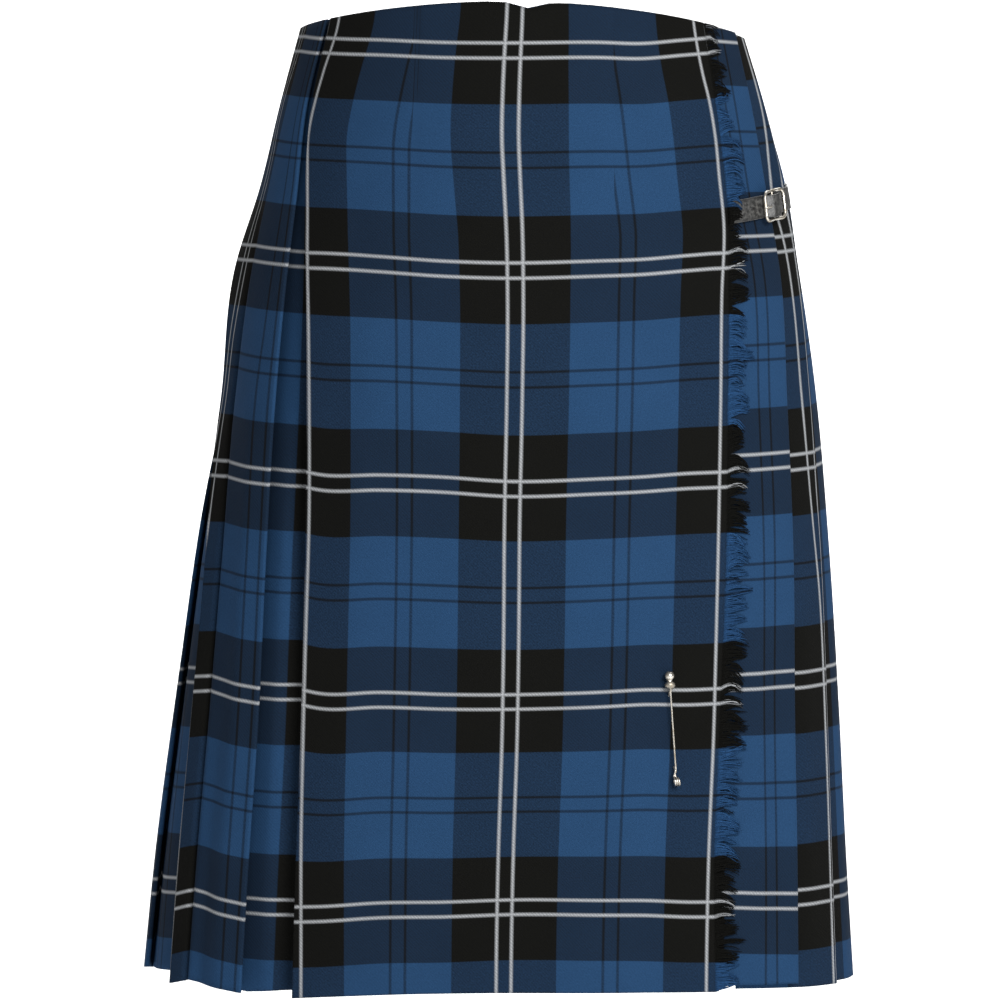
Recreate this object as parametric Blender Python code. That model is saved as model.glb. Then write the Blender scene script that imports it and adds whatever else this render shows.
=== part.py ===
"""Knee-length tartan kilt in its worn, hollow form: aprons, knife pleats, fringe, strap, buckle and pin.

Metres, +Z up, the wearer faces -Y. The origin is the centre of the waist, which the wearer holds.
Every panel is a closed wall of cloth. Its centre line is worked out level by level in two
coordinates, the way round the body (0 at the front centre, growing towards +X) and the depth
inwards from the outermost layer, and is then wrapped on that level's ring.
"""

import math

import bmesh
import bpy
import numpy as np

# Cloth
WALL = 0.0011  # thickness of the woollen cloth
LAYER = 0.0018  # depth from one folded layer to the next
GAP = 0.0003  # air between pieces that touch
RING_SAMPLES = 1440

# The ring that each level of the kilt follows: half widths and half depths from the waist's centre,
# the exponent of its outline (2 is an ellipse), and how much of the rise and the dip it takes.
FORM_COLUMNS = ("z", "left", "right", "front", "back", "square", "rise", "dip")
FORM = np.array(
    (
        (0.000, 0.1352, 0.1380, 0.098, 0.100, 2.00, 1.00, 0.0),
        (-0.040, 0.1472, 0.1510, 0.103, 0.111, 2.00, 0.35, 0.0),
        (-0.090, 0.1600, 0.1645, 0.111, 0.124, 2.05, 0.00, 0.0),
        (-0.140, 0.1760, 0.1725, 0.118, 0.134, 2.10, 0.00, 0.0),
        (-0.220, 0.1843, 0.1828, 0.126, 0.145, 2.20, 0.00, 0.0),
        (-0.310, 0.1992, 0.1905, 0.133, 0.153, 2.30, 0.00, 0.0),
        (-0.410, 0.2132, 0.1968, 0.140, 0.160, 2.40, 0.00, 0.2),
        (-0.500, 0.2250, 0.2014, 0.146, 0.166, 2.45, 0.00, 0.5),
        (-0.573, 0.2328, 0.2060, 0.150, 0.170, 2.50, 0.00, 1.0),
    )
)

# Where the edges and folds that face forward lie at the same levels, as X, and how far the pleats
# stand open there, from a fold to the layer beneath it. The face at the left side has a soft valley:
# where it lies, how deep it sinks, how far round behind it the face's folded ridge stands, and how
# deep the face that goes behind that ridge lies.
EDGE_COLUMNS = ("apron_left", "apron_right", "first_fold", "last_fold", "open")
EDGE_COLUMNS += ("valley", "sink", "ridge", "behind")
EDGES = np.array(
    (
        (-0.1163, 0.1120, 0.1322, -0.1193, 0.0036, -0.1298, 0.0000, 0.024, 0.0036),
        (-0.1276, 0.1200, 0.1420, -0.1316, 0.0036, -0.1430, 0.0005, 0.026, 0.0036),
        (-0.1319, 0.1267, 0.1512, -0.1380, 0.0036, -0.1560, 0.0015, 0.028, 0.0036),
        (-0.1311, 0.1279, 0.1597, -0.1440, 0.0038, -0.1692, 0.0045, 0.028, 0.0038),
        (-0.1307, 0.1273, 0.1640, -0.1514, 0.0045, -0.1812, 0.0055, 0.024, 0.0040),
        (-0.1316, 0.1264, 0.1677, -0.1566, 0.0056, -0.1870, 0.0045, 0.016, 0.0044),
        (-0.1340, 0.1224, 0.1686, -0.1613, 0.0070, -0.1936, 0.0030, 0.017, 0.0048),
        (-0.1374, 0.1190, 0.1701, -0.1675, 0.0084, -0.2004, 0.0020, 0.018, 0.0052),
        (-0.1395, 0.1200, 0.1707, -0.1719, 0.0095, -0.2051, 0.0015, 0.018, 0.0054),
    )
)

# Top and hem
FRONT_RISE = 0.033  # the front centre's height over the back
RISE_POWER = 2.2
BACK_DROP = 0.003  # how far the back's top edge lies under the waist line
TOP_TILT = 0.028  # the left side's top edge is higher, for each metre of X
TOP_TURN = 0.05  # how far round to the right the highest point lies, in radians
NOTCH_DEPTH = 0.004  # small dip of the top edge beside the front centre
NOTCH_X = 0.005
NOTCH_WIDTH = 0.010
SIDE_DIP = 0.005  # how far the hem dips at the sides
CORNER_DIP = 0.004  # further dip of the over apron's left corner
SIDE_FACE_DIPS = (-0.0015, -0.0070, -0.0088)  # of the last two folds before the ridge, and beside it
LEFT_FACE_DIPS = (-0.0014, -0.0048, 0.0016, -0.0002)  # of the ridge, valley, last fold and apron's edge
FIRST_FACE_RISE = 0.0035  # how far the first plain face's hem lies over the pleats'

# Pleats
PLEAT_FACES = 17  # between the under apron's fold and the ridge at the left side
RIDGE, VALLEY = PLEAT_FACES, PLEAT_FACES + 1  # their places among the pleats' edges
TUCK = 0.6  # of the way from the ridge to the valley that the cloth reaches behind it
PLEAT_DEPTH = 0.8  # of its face's width
PRESSED = (0.75, 0.5, 0.3, 0.1)  # of the opening left in the last pleats before the ridge, which lie flatter
PRESSED_DEPTH = (0.8, 0.7, 0.55, 0.4)  # of their faces' widths
UNEVEN_SINK = 0.22  # of the opening, from one pleat to the next
UNEVEN_STEP = 2.4  # radians of its wave, from one pleat to the next
APRON_TURN = 0.028  # cloth folded under at the over apron's left edge
UNDER_DEPTH = 2 * LAYER  # from the over apron to the under apron
UNDER_LEFT_X = -0.085  # hidden end of the under apron
UNDER_NEAR_X = 0.104  # where the under apron starts to come forward
FRINGE_REACH = 0.0165  # how far the under apron stays back beside the over apron's edge

# Fringe
STRANDS = 150
STRIP_WIDTH = 0.0018
STRAND_LENGTH = 0.0122
STRAND_SHARE = 0.62  # of the space for each
STRAND_TIP = 0.35  # of the root's size
TRIM_END = 0.0025  # from the strip's ends to the apron's top edge and hem

# Strap and buckle
STRAP_WIDTH = 0.0148
STRAP_THICK = 0.0016
STRAP_Z = -0.1005  # middle of its sewn end
STRAP_CLIMB = 0.075  # rise for each metre along
STRAP_TAIL = 0.052  # past the buckle's centre
BUCKLE_X = 0.1525
BUCKLE_HALF_LONG = 0.0105
BUCKLE_HALF_TALL = 0.0093
BAR_RADIUS = 0.0009
FRAME_CORNER = 0.0028
FRAME_OUT = 0.0050  # height of the outer bars' centre over the cloth
CENTRE_OUT = 0.0029
CHAPE_THICK = 0.0009
CHAPE_WIDTH = 0.0125
CHAPE_LENGTH = 0.0155
PRONG_RADIUS = 0.0007
PRONG_SLOT = 0.0012  # half width of the slots that the prong passes through

# Kilt pin
PIN_X = 0.0915
PIN_TOP_Z = -0.3835
PIN_LENGTH = 0.0615
PIN_LEAN = 0.05  # sideways for each metre down
PIN_RADIUS = 0.0010
PIN_OUT = 0.0034  # height of the bar's centre over the cloth
PIN_HEAD_RADIUS = 0.0031
PIN_COIL_RADIUS = 0.0028
NEEDLE_RADIUS = 0.0005
NEEDLE_IN = 0.0024  # depth of the needle's centre under the cloth's outer face
PIN_HOLE_RADIUS = 0.0012
PIN_HOLE_AT = 0.0085  # from the bar's ends

# Finishes: colour, roughness, metallic
TARTAN = ((0.030, 0.065, 0.150), 0.85, 0.0)
TARTAN_DARK = ((0.020, 0.040, 0.090), 0.85, 0.0)
YARN = ((0.020, 0.075, 0.200), 0.90, 0.0)
LEATHER = ((0.045, 0.040, 0.038), 0.38, 0.0)
BROWN_LEATHER = ((0.060, 0.035, 0.022), 0.50, 0.0)
SILVER = ((0.780, 0.770, 0.750), 0.22, 1.0)


def clear_scene():
    for old in list(bpy.data.objects):
        bpy.data.objects.remove(old, do_unlink=True)


def finish(name, look):
    colour, roughness, metallic = look
    material = bpy.data.materials.new(name)
    material.use_nodes = True
    shader = material.node_tree.nodes["Principled BSDF"]
    shader.inputs["Base Color"].default_value = (*colour, 1.0)
    shader.inputs["Roughness"].default_value = roughness
    shader.inputs["Metallic"].default_value = metallic
    return material


def solid(name, points, faces, material):
    mesh = bpy.data.meshes.new(name)
    mesh.from_pydata([tuple(map(float, p)) for p in points], [], [tuple(map(int, f)) for f in faces])
    work = bmesh.new()
    work.from_mesh(mesh)
    bmesh.ops.recalc_face_normals(work, faces=work.faces)
    work.to_mesh(mesh)
    work.free()
    mesh.materials.append(material)
    made = bpy.data.objects.new(name, mesh)
    bpy.context.collection.objects.link(made)
    return made


def column(table, names, name, z):
    """A column of a level table, read at height z."""
    return float(np.interp(-z, -FORM[:, 0], table[:, names.index(name)]))


class Ring:
    """One level of the body's form, measured along its outline from the front centre."""

    def __init__(self, z):
        self.z = z
        form = {name: column(FORM, FORM_COLUMNS, name, z) for name in FORM_COLUMNS}
        self.rise, self.dip = form["rise"], form["dip"]
        turn = np.linspace(-math.pi, math.pi, RING_SAMPLES + 1)
        power = 2 / form["square"]
        sine, cosine = np.sin(turn), np.cos(turn)
        wide = np.where(sine > 0, form["right"], form["left"])
        deep = np.where(cosine > 0, form["front"], form["back"])
        self.x = wide * np.sign(sine) * np.abs(sine) ** power
        self.y = -deep * np.sign(cosine) * np.abs(cosine) ** power
        self.turn = turn
        steps = np.hypot(np.diff(self.x), np.diff(self.y))
        along = np.concatenate(([0], np.cumsum(steps)))
        self.along = along - along[RING_SAMPLES // 2]
        self.length = along[-1]
        slope_x, slope_y = np.gradient(self.x), np.gradient(self.y)
        size = np.hypot(slope_x, slope_y)
        self.out_x, self.out_y = slope_y / size, -slope_x / size

    def at_x(self, x):
        """Distance along the front half to the point with this X."""
        front = np.abs(self.turn) <= math.pi / 2
        return float(np.interp(x, self.x[front], self.along[front]))

    def edge(self, name):
        return self.at_x(column(EDGES, EDGE_COLUMNS, name, self.z))

    def wrap(self, along, depth, lower=0.0):
        """Points at distances along the ring and depths inside it; lower is an extra drop."""
        along, depth = np.asarray(along, float), np.asarray(depth, float)
        around = (along - self.along[0]) % self.length + self.along[0]

        def read(values):
            return np.interp(around, self.along, values)

        x, y = read(self.x), read(self.y)
        turn = read(self.turn)
        lift = FRONT_RISE * (0.5 + 0.5 * np.cos(turn - TOP_TURN)) ** RISE_POWER
        lift = lift - BACK_DROP - TOP_TILT * x
        front = np.cos(turn) > 0
        lift = lift - NOTCH_DEPTH * np.exp(-(((x - NOTCH_X) / NOTCH_WIDTH) ** 2)) * front
        z = self.z + self.rise * lift - self.dip * (SIDE_DIP * np.sin(turn) ** 2 + lower)
        return np.stack((x - depth * read(self.out_x), y - depth * read(self.out_y), z), axis=1)


RINGS = [Ring(z) for z in FORM[:, 0]]


def offset(path, distance):
    """The path moved sideways, its corners mitred."""
    path = np.asarray(path, float)
    step = np.diff(path, axis=0)
    step /= np.linalg.norm(step, axis=1)[:, None]
    side = np.stack((-step[:, 1], step[:, 0]), axis=1)
    first, last = np.vstack((side[:1], side)), np.vstack((side, side[-1:]))
    middle = first + last
    middle /= np.linalg.norm(middle, axis=1)[:, None]
    mitre = np.clip((middle * first).sum(axis=1), 0.5, 1.0)
    return path + middle * (distance / mitre)[:, None]


def cloth_wall(name, path_at, material, lower_at=None):
    """A closed wall of cloth. path_at gives each ring's centre line as (along, depth) rows."""
    loops = []
    for ring in RINGS:
        path = np.array(path_at(ring))
        lower = lower_at(ring, path[:, 0]) if lower_at else np.zeros(len(path))
        inner = offset(path, WALL / 2)
        outer = offset(path, -WALL / 2)
        one = ring.wrap(inner[:, 0], inner[:, 1], lower)
        other = ring.wrap(outer[:, 0], outer[:, 1], lower)
        loops.append(np.vstack((one, other[::-1])))
    size = len(loops[0])
    half = size // 2
    faces = []
    for level in range(len(loops) - 1):
        low, high = level * size, (level + 1) * size
        for i in range(size):
            j = (i + 1) % size
            faces.append((low + i, low + j, high + j, high + i))
    last = (len(loops) - 1) * size
    for i in range(half - 1):
        a, b, c, d = i, i + 1, size - 2 - i, size - 1 - i
        faces.append((a, b, c, d))
        faces.append((last + a, last + b, last + c, last + d))
    return solid(name, np.vstack(loops), faces, material)


def spread(start, end, count):
    """Distances from start to end, ends left out."""
    return list(np.linspace(start, end, count + 2)[1:-1])


def fold_back(along, depth):
    """A fold whose edge faces onwards: out of the upper layer and into the one beneath."""
    r = LAYER / 2
    return [(along - r, depth), (along, depth + r), (along - r, depth + 2 * r)]


def fold_on(along, depth):
    """A hidden inner fold, from the layer above into the one at depth."""
    r = LAYER / 2
    return [(along + r, depth - 2 * r), (along, depth - r), (along + r, depth)]


class Pleats:
    """The fold lines of one ring: where each lies, how deep, and how far it stands open."""

    def __init__(self, ring):
        first = ring.edge("first_fold")
        valley = ring.edge("valley") + ring.length
        ridge = valley - column(EDGES, EDGE_COLUMNS, "ridge", ring.z)
        last = ring.edge("last_fold") + ring.length
        share = np.arange(PLEAT_FACES + 1) / PLEAT_FACES
        off_centre = (first + ridge) / 2 - ring.along[-1]
        self.edges = list(first + (ridge - first) * share - off_centre * np.sin(np.pi * share) ** 2)
        self.edges += [valley, last]
        self.end = ring.edge("apron_left") + ring.length
        opened = column(EDGES, EDGE_COLUMNS, "open", ring.z)
        uneven = (opened - 2 * LAYER) * UNEVEN_SINK
        plain = RIDGE - len(PRESSED)
        press = [1.0] * plain + list(PRESSED) + [1.0] * 3
        reach = [PLEAT_DEPTH] * plain + list(PRESSED_DEPTH) + [PLEAT_DEPTH] * 3
        sink = [uneven * (1 + math.sin(UNEVEN_STEP * k)) * press[k] for k in range(PLEAT_FACES)]
        sink[0] = 0.0
        sink.append(column(EDGES, EDGE_COLUMNS, "behind", ring.z))
        sink.append(column(EDGES, EDGE_COLUMNS, "sink", ring.z))
        sink.append(0.0)
        self.sink = sink
        under_face = first - ring.edge("apron_right") - FRINGE_REACH
        slope = LAYER / under_face
        self.inner, self.turned = [], []
        for k, edge in enumerate(self.edges):
            end = k + 1 == len(self.edges)
            wide = self.end - edge if end else self.edges[k + 1] - edge
            if k in (RIDGE, VALLEY):
                self.inner.append(sink[k] if k == VALLEY else 0.0)
                self.turned.append(0.0)
                slope = (self.inner[k] - sink[k + 1]) / wide
                continue
            beyond = 2 * LAYER if end else sink[k + 1]
            back = reach[k] * (self.edges[k] - self.edges[k - 1] if end else wide)
            fall = sink[k] - beyond
            share = back / wide
            needed = (2 * LAYER + back * slope - share * fall) / (1 + share)
            under = max(2 * LAYER + (opened - 2 * LAYER) * press[k], needed)
            if end:
                slope_on = 0.0
                under = max(under, 2 * LAYER + back * slope)
            else:
                slope_on = (fall + under) / wide
            self.inner.append(sink[k] + under + slope_on * back)
            self.turned.append(back)
            slope = slope_on

    def layer(self, k, along):
        """Depth of the cloth that runs on from the inner fold k to the next edge."""
        start = self.edges[k] - self.turned[k]
        if k + 1 == len(self.edges):
            return self.inner[k]
        end = self.edges[k + 1]
        share = (along - start) / (end - start)
        return self.inner[k] + share * (self.sink[k + 1] - self.inner[k])

    def onward(self, k):
        """Points of that cloth, one wherever a fold or the middle of a turned layer lies over or under it."""
        edge, back = self.edges[k], self.turned[k]
        stops = [edge - back / 2, edge]
        if k + 1 == RIDGE:
            stops.append((edge + self.edges[RIDGE]) / 2)
        elif k + 1 < len(self.edges):
            following, turned = self.edges[k + 1], self.turned[k + 1]
            stops += [following - turned, following - turned / 2]
        else:
            stops += [self.end, self.end + APRON_TURN]
        return [(s, self.layer(k, s)) for s in stops]

    def turn_under(self, k):
        """The turned layer of pleat k: its edge, its middle and its inner fold."""
        edge, back, depth = self.edges[k], self.turned[k], self.inner[k]
        first = self.sink[k] + LAYER
        middle = (edge - back / 2, (first + depth - LAYER) / 2)
        return fold_back(edge, self.sink[k]) + [middle] + fold_on(edge - back, depth)

    def over_ridge(self):
        """The left side's face: back from behind its ridge, round it, through the valley, to the last fold."""
        r = LAYER / 2
        ridge, valley, last = self.edges[RIDGE:]
        tucked = ridge + TUCK * (valley - ridge)
        halfway = (ridge + tucked) / 2
        over, under = self.layer(RIDGE, tucked), self.layer(RIDGE, halfway)
        deep = max(self.sink[RIDGE], over + 2 * LAYER)
        path = [(ridge, self.sink[RIDGE]), (halfway, max(self.sink[RIDGE], under + 2 * LAYER))]
        path += [(tucked - r, deep), (tucked, deep - r), (tucked - r, deep - 2 * r)]
        path += [(halfway, deep / 2), (ridge + r, LAYER), (ridge, r), (ridge + r, 0.0)]
        path += [(halfway, under), (tucked, over), (valley, self.sink[VALLEY])]
        back = self.turned[-1]
        return path + [(s, self.layer(VALLEY, s)) for s in (last - back, last - back / 2)]


def pleated_path(ring):
    """The run of pleats, from under the first plain face to under the over apron."""
    pleats = Pleats(ring)
    start = pleats.edges[0] - pleats.turned[0]
    path = [(start, pleats.inner[0])] + pleats.onward(0)
    for k in range(1, RIDGE):
        path += pleats.turn_under(k) + pleats.onward(k)
    last = len(pleats.edges) - 1
    return path + pleats.over_ridge() + pleats.turn_under(last) + pleats.onward(last)


def pleat_drop(ring, along):
    """How much lower the hem hangs: of the faces before the ridge, and then of the left side's."""
    pleats = Pleats(ring)
    ridge = pleats.edges[RIDGE]
    before = np.interp(along, pleats.edges[RIDGE - 3:RIDGE + 1], (0.0, *SIDE_FACE_DIPS))
    after = np.interp(along, pleats.edges[RIDGE:] + [pleats.end], LEFT_FACE_DIPS)
    behind = int(np.argmax(along > ridge + LAYER))
    return np.where(np.arange(len(along)) > behind, after, before)


def over_apron_path(ring):
    """From the end of the turned cloth, round the left fold and across to the fringed edge."""
    left, right = ring.edge("apron_left"), ring.edge("apron_right")
    r = LAYER / 2
    path = [(left + APRON_TURN, LAYER), (left + APRON_TURN / 2, LAYER)]
    path += [(left + r, LAYER), (left, r), (left + r, 0.0)]
    path += [(left + APRON_TURN / 2, 0.0), (left + APRON_TURN, 0.0)]
    path += [(s, 0.0) for s in spread(left + APRON_TURN, right, 12)]
    return path + [(right, 0.0)]


def corner_drop(ring, along):
    """The over apron hangs a little lower at its left corner."""
    left = ring.edge("apron_left")
    return CORNER_DIP * np.clip(along / left, 0, 1) ** 2


def first_face_drop(ring, along):
    """The under apron's hem is higher where it shows beside the over apron."""
    return np.interp(along, [0.0, ring.edge("apron_right")], [0.0, -FIRST_FACE_RISE])


def under_apron_path(ring):
    """Behind the over apron, forward beside its edge and round the first fold."""
    pleats = Pleats(ring)
    edge, back, depth = pleats.edges[0], pleats.turned[0], pleats.inner[0]
    start, near = ring.at_x(UNDER_LEFT_X), ring.at_x(UNDER_NEAR_X)
    beside = ring.edge("apron_right") + FRINGE_REACH
    path = [(s, UNDER_DEPTH) for s in [start] + spread(start, near, 9) + [near]]
    path += [(ring.edge("apron_right"), LAYER), (beside, LAYER), ((beside + edge) / 2, LAYER / 2)]
    path += fold_back(edge, 0.0)
    path += [(edge - back / 2, depth / 2), (edge - back, depth - LAYER)]
    return path


def fringe_edge(z, out, beyond):
    """A point past the over apron's cut edge, at a height and a distance outside the cloth."""
    ring = Ring(z)
    return ring.wrap([ring.edge("apron_right") + beyond], [-out])[0]


def fringe(name, material):
    """The strip of cloth that the weft threads stay woven into, with the loose threads along it."""
    top, hem = FORM[0, 0] - TRIM_END, FORM[-1, 0] + TRIM_END
    pitch = (top - hem) / STRANDS
    half = WALL / 2
    points, faces, heights = [], [], []

    def point(z, out, beyond):
        points.append(fringe_edge(z, out, beyond))
        heights.append(z)
        return len(points) - 1

    rows = []
    for k in range(STRANDS + 1):
        z = top - k * pitch
        rows.append([point(z, -half, STRIP_WIDTH), point(z, half, STRIP_WIDTH)])
        if k < STRANDS:
            z -= pitch * STRAND_SHARE
            rows.append([point(z, -half, STRIP_WIDTH), point(z, half, STRIP_WIDTH)])
    row_heights = np.array([heights[row[0]] for row in rows])
    stops = [0] + [int(np.argmin(np.abs(row_heights - z))) for z in FORM[1:-1, 0]] + [len(rows) - 1]
    backs = [[point(row_heights[i], -half, GAP), point(row_heights[i], half, GAP)] for i in stops]
    for k in range(STRANDS):
        a, b = rows[2 * k], rows[2 * k + 1]
        following = rows[2 * k + 2]
        faces.append((b[0], b[1], following[1], following[0]))
        z = top - (k + STRAND_SHARE / 2) * pitch
        sway = math.sin(1.7 * k) + 0.6 * math.sin(4.3 * k + 1.0)
        reach = STRIP_WIDTH + STRAND_LENGTH * (0.9 + 0.06 * sway)
        droop = pitch * (0.35 + 0.25 * math.sin(2.9 * k))
        tip_tall = pitch * STRAND_SHARE * STRAND_TIP / 2
        tip_thick = half * STRAND_TIP
        high, low = z - droop + tip_tall, z - droop - tip_tall
        tip = [
            point(high, -tip_thick, reach),
            point(high, tip_thick, reach),
            point(low, tip_thick, reach),
            point(low, -tip_thick, reach),
        ]
        root = [a[0], a[1], b[1], b[0]]
        for i in range(4):
            j = (i + 1) % 4
            faces.append((root[i], root[j], tip[j], tip[i]))
        faces.append(tuple(tip))
    for side in (0, 1):
        for n in range(len(stops) - 1):
            front = [rows[i][side] for i in range(stops[n], stops[n + 1] + 1)]
            faces.append(tuple([backs[n][side]] + front + [backs[n + 1][side]]))
    for n in range(len(stops) - 1):
        faces.append((backs[n][0], backs[n][1], backs[n + 1][1], backs[n + 1][0]))
    for row, back in ((rows[0], backs[0]), (rows[-1], backs[-1])):
        faces.append((row[0], row[1], back[1], back[0]))
    return solid(name, points, faces, material)


def on_hip(along, z, out):
    """Points over the cloth: along the ring, at a height, and out from the cloth's outer face."""
    ring = Ring(z)
    return ring.wrap(np.atleast_1d(along), -np.atleast_1d(out) - WALL / 2)


class Hip:
    """Places small things over the cloth at the buckle, in along, up and out from its centre."""

    def __init__(self):
        self.z = STRAP_Z
        ring = Ring(self.z)
        self.start = ring.edge("apron_right") + GAP
        self.centre = ring.at_x(BUCKLE_X)

    def place(self, points):
        placed = []
        for along, up, out in points:
            z = self.z + up + STRAP_CLIMB * (along + self.centre - self.start)
            placed.append(on_hip(self.centre + along - STRAP_CLIMB * up, z, out)[0])
        return placed


def ribbon(name, place, path, thick, wide, material):
    """A flat strip of the given thickness and width along a path of (along, out) rows."""
    inner, outer = offset(path, thick / 2), offset(path, -thick / 2)
    loop = np.vstack((inner, outer[::-1]))
    size = len(loop)
    half = size // 2
    points, faces = [], []
    for up in (-wide / 2, wide / 2):
        points += [(along, up, out) for along, out in loop]
    for i in range(size):
        j = (i + 1) % size
        faces.append((i, j, size + j, size + i))
    for i in range(half - 1):
        quad = (i, i + 1, size - 2 - i, size - 1 - i)
        faces.append(quad)
        faces.append(tuple(size + q for q in quad))
    return solid(name, place(points), faces, material)


def tube(path, radius, sides=8, closed=False):
    """Points and faces of a round bar along a path; radius may change from point to point."""
    path = np.asarray(path, float)
    count = len(path)
    radius = np.broadcast_to(radius, count)
    if closed:
        direction = np.roll(path, -1, axis=0) - np.roll(path, 1, axis=0)
    else:
        direction = np.gradient(path, axis=0)
    direction /= np.linalg.norm(direction, axis=1)[:, None]
    lateral = np.cross(direction[0], (0.3, 0.2, 0.9))
    points, faces = [], []
    for centre, way, size in zip(path, direction, radius):
        lateral = lateral - way * np.dot(lateral, way)
        lateral /= np.linalg.norm(lateral)
        other = np.cross(way, lateral)
        for k in range(sides):
            turn = 2 * math.pi * k / sides
            points.append(centre + size * (math.cos(turn) * lateral + math.sin(turn) * other))
    for i in range(count if closed else count - 1):
        low, high = i * sides, (i + 1) % count * sides
        for k in range(sides):
            j = (k + 1) % sides
            faces.append((low + k, low + j, high + j, high + k))
    if not closed:
        faces.append(tuple(range(sides)))
        faces.append(tuple(range((count - 1) * sides, count * sides)))
    return points, faces


def frame_outline(half_long, half_tall, corner, steps=3):
    """A rounded rectangle, as (along, up) rows."""
    rows = []
    for quarter in range(4):
        side_x = 1 if quarter in (0, 3) else -1
        side_y = 1 if quarter < 2 else -1
        centre = (side_x * (half_long - corner), side_y * (half_tall - corner))
        for k in range(steps + 1):
            turn = math.pi / 2 * (quarter + k / steps)
            rows.append((centre[0] + corner * math.cos(turn), centre[1] + corner * math.sin(turn)))
    return rows


def join(target, other):
    """Adds another closed solid to this one and removes it."""
    joined = target.modifiers.new("join", "BOOLEAN")
    joined.operation = "UNION"
    joined.solver = "EXACT"
    joined.object = other
    apply_modifiers(target)
    bpy.data.objects.remove(other, do_unlink=True)


def cut(target, cutter):
    """Cuts a closed solid out of this one and removes it."""
    opening = target.modifiers.new("cut", "BOOLEAN")
    opening.operation = "DIFFERENCE"
    opening.solver = "EXACT"
    opening.object = cutter
    apply_modifiers(target)
    bpy.data.objects.remove(cutter, do_unlink=True)


def apply_modifiers(target):
    depsgraph = bpy.context.evaluated_depsgraph_get()
    shaped = bpy.data.meshes.new_from_object(target.evaluated_get(depsgraph))
    target.modifiers.clear()
    target.data = shaped


def strap(hip, material):
    """Sewn at the over apron's edge, under one side bar, over the middle bar, under the other, and on."""
    low = GAP + STRAP_THICK / 2
    crest = CENTRE_OUT + BAR_RADIUS + CHAPE_THICK + 3 * GAP + STRAP_THICK / 2
    on_chape = low + CHAPE_THICK + 2 * GAP
    begin = hip.start - hip.centre
    path = [(begin, low), (begin * 0.7, low), (begin * 0.45, low)]
    path += [(-BUCKLE_HALF_LONG - 0.002, low), (-BUCKLE_HALF_LONG + 0.0015, low + 0.0003)]
    path += [(-0.0028, crest), (0.0028, crest)]
    path += [(BUCKLE_HALF_LONG - 0.0015, on_chape + 0.0003), (BUCKLE_HALF_LONG + 0.002, on_chape)]
    on_cloth = low + GAP
    path += [(CHAPE_LENGTH + 0.001, on_chape), (CHAPE_LENGTH + 0.005, on_cloth)]
    path += [(s, on_cloth) for s in np.linspace(0.026, STRAP_TAIL, 5)]
    return ribbon("strap", hip.place, path, STRAP_THICK, STRAP_WIDTH, material)


def buckle_frame(hip, material):
    """A rounded silver frame with a bar across its middle."""
    outline = frame_outline(BUCKLE_HALF_LONG, BUCKLE_HALF_TALL, FRAME_CORNER)
    rows = []
    for along, up in outline:
        sides = abs(along) / BUCKLE_HALF_LONG
        rows.append((along, up, CENTRE_OUT + (FRAME_OUT - CENTRE_OUT) * sides))
    points, faces = tube(rows, BAR_RADIUS, 8, closed=True)
    frame = solid("buckle_frame", hip.place(points), faces, material)
    bar = [(0, up, CENTRE_OUT) for up in np.linspace(-BUCKLE_HALF_TALL, BUCKLE_HALF_TALL, 4)]
    points, faces = tube(bar, BAR_RADIUS * 0.93, 8)
    join(frame, solid("middle_bar", hip.place(points), faces, material))
    return frame


def chape(hip, material):
    """The leather tab sewn to the hip, turned round the middle bar, with a slot for the prong."""
    low = GAP + CHAPE_THICK / 2
    turn_radius = BAR_RADIUS + GAP + CHAPE_THICK / 2
    path = [(s, low) for s in np.linspace(CHAPE_LENGTH, 0.006, 3)] + [(0.0035, low + 0.0002)]
    for turn in np.radians((-70, -105, -140, -180, -220, -255, -290)):
        path.append((turn_radius * math.cos(turn), CENTRE_OUT + turn_radius * math.sin(turn)))
    tab = ribbon("buckle_chape", hip.place, path, CHAPE_THICK, CHAPE_WIDTH, material)
    cut(tab, slot_box(hip, -0.0036, 0.0036, material))
    return tab


def slot_box(hip, start, end, material):
    """A cutter across the cloth's outside, as wide as the prong's slot."""
    points = []
    for along in (start, end):
        for up in (-PRONG_SLOT, PRONG_SLOT):
            for out in (-GAP, 0.0095):
                points.append((along, up, out))
    faces = [(0, 1, 3, 2), (4, 6, 7, 5), (0, 4, 5, 1), (2, 3, 7, 6), (0, 2, 6, 4), (1, 5, 7, 3)]
    return solid("slot", hip.place(points), faces, material)


def prong(hip, material):
    """A bent rod: an open ring round the middle bar, through the strap, on to the left bar."""
    around = BAR_RADIUS + GAP + PRONG_RADIUS
    path = []
    for turn in np.radians((30, -10, -50, -90, -130, -170)):
        path.append((around * math.cos(turn), 0.0, CENTRE_OUT + around * math.sin(turn)))
    rest = FRAME_OUT + BAR_RADIUS + GAP + PRONG_RADIUS
    path += [(-0.0030, 0.0, CENTRE_OUT + 0.0008), (-0.0058, 0.0, rest - 0.0009)]
    path += [(-BUCKLE_HALF_LONG, 0.0, rest), (-BUCKLE_HALF_LONG - 0.0014, 0.0, rest - 0.0001)]
    points, faces = tube(path, PRONG_RADIUS, 6)
    return solid("buckle_prong", hip.place(points), faces, material)


def on_front(down, out):
    """A point along the kilt pin: its distance down from the head and its height over the cloth."""
    z = PIN_TOP_Z - down
    ring = Ring(z)
    return ring.wrap([ring.at_x(PIN_X + PIN_LEAN * down)], [-out - WALL / 2])[0]


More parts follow.
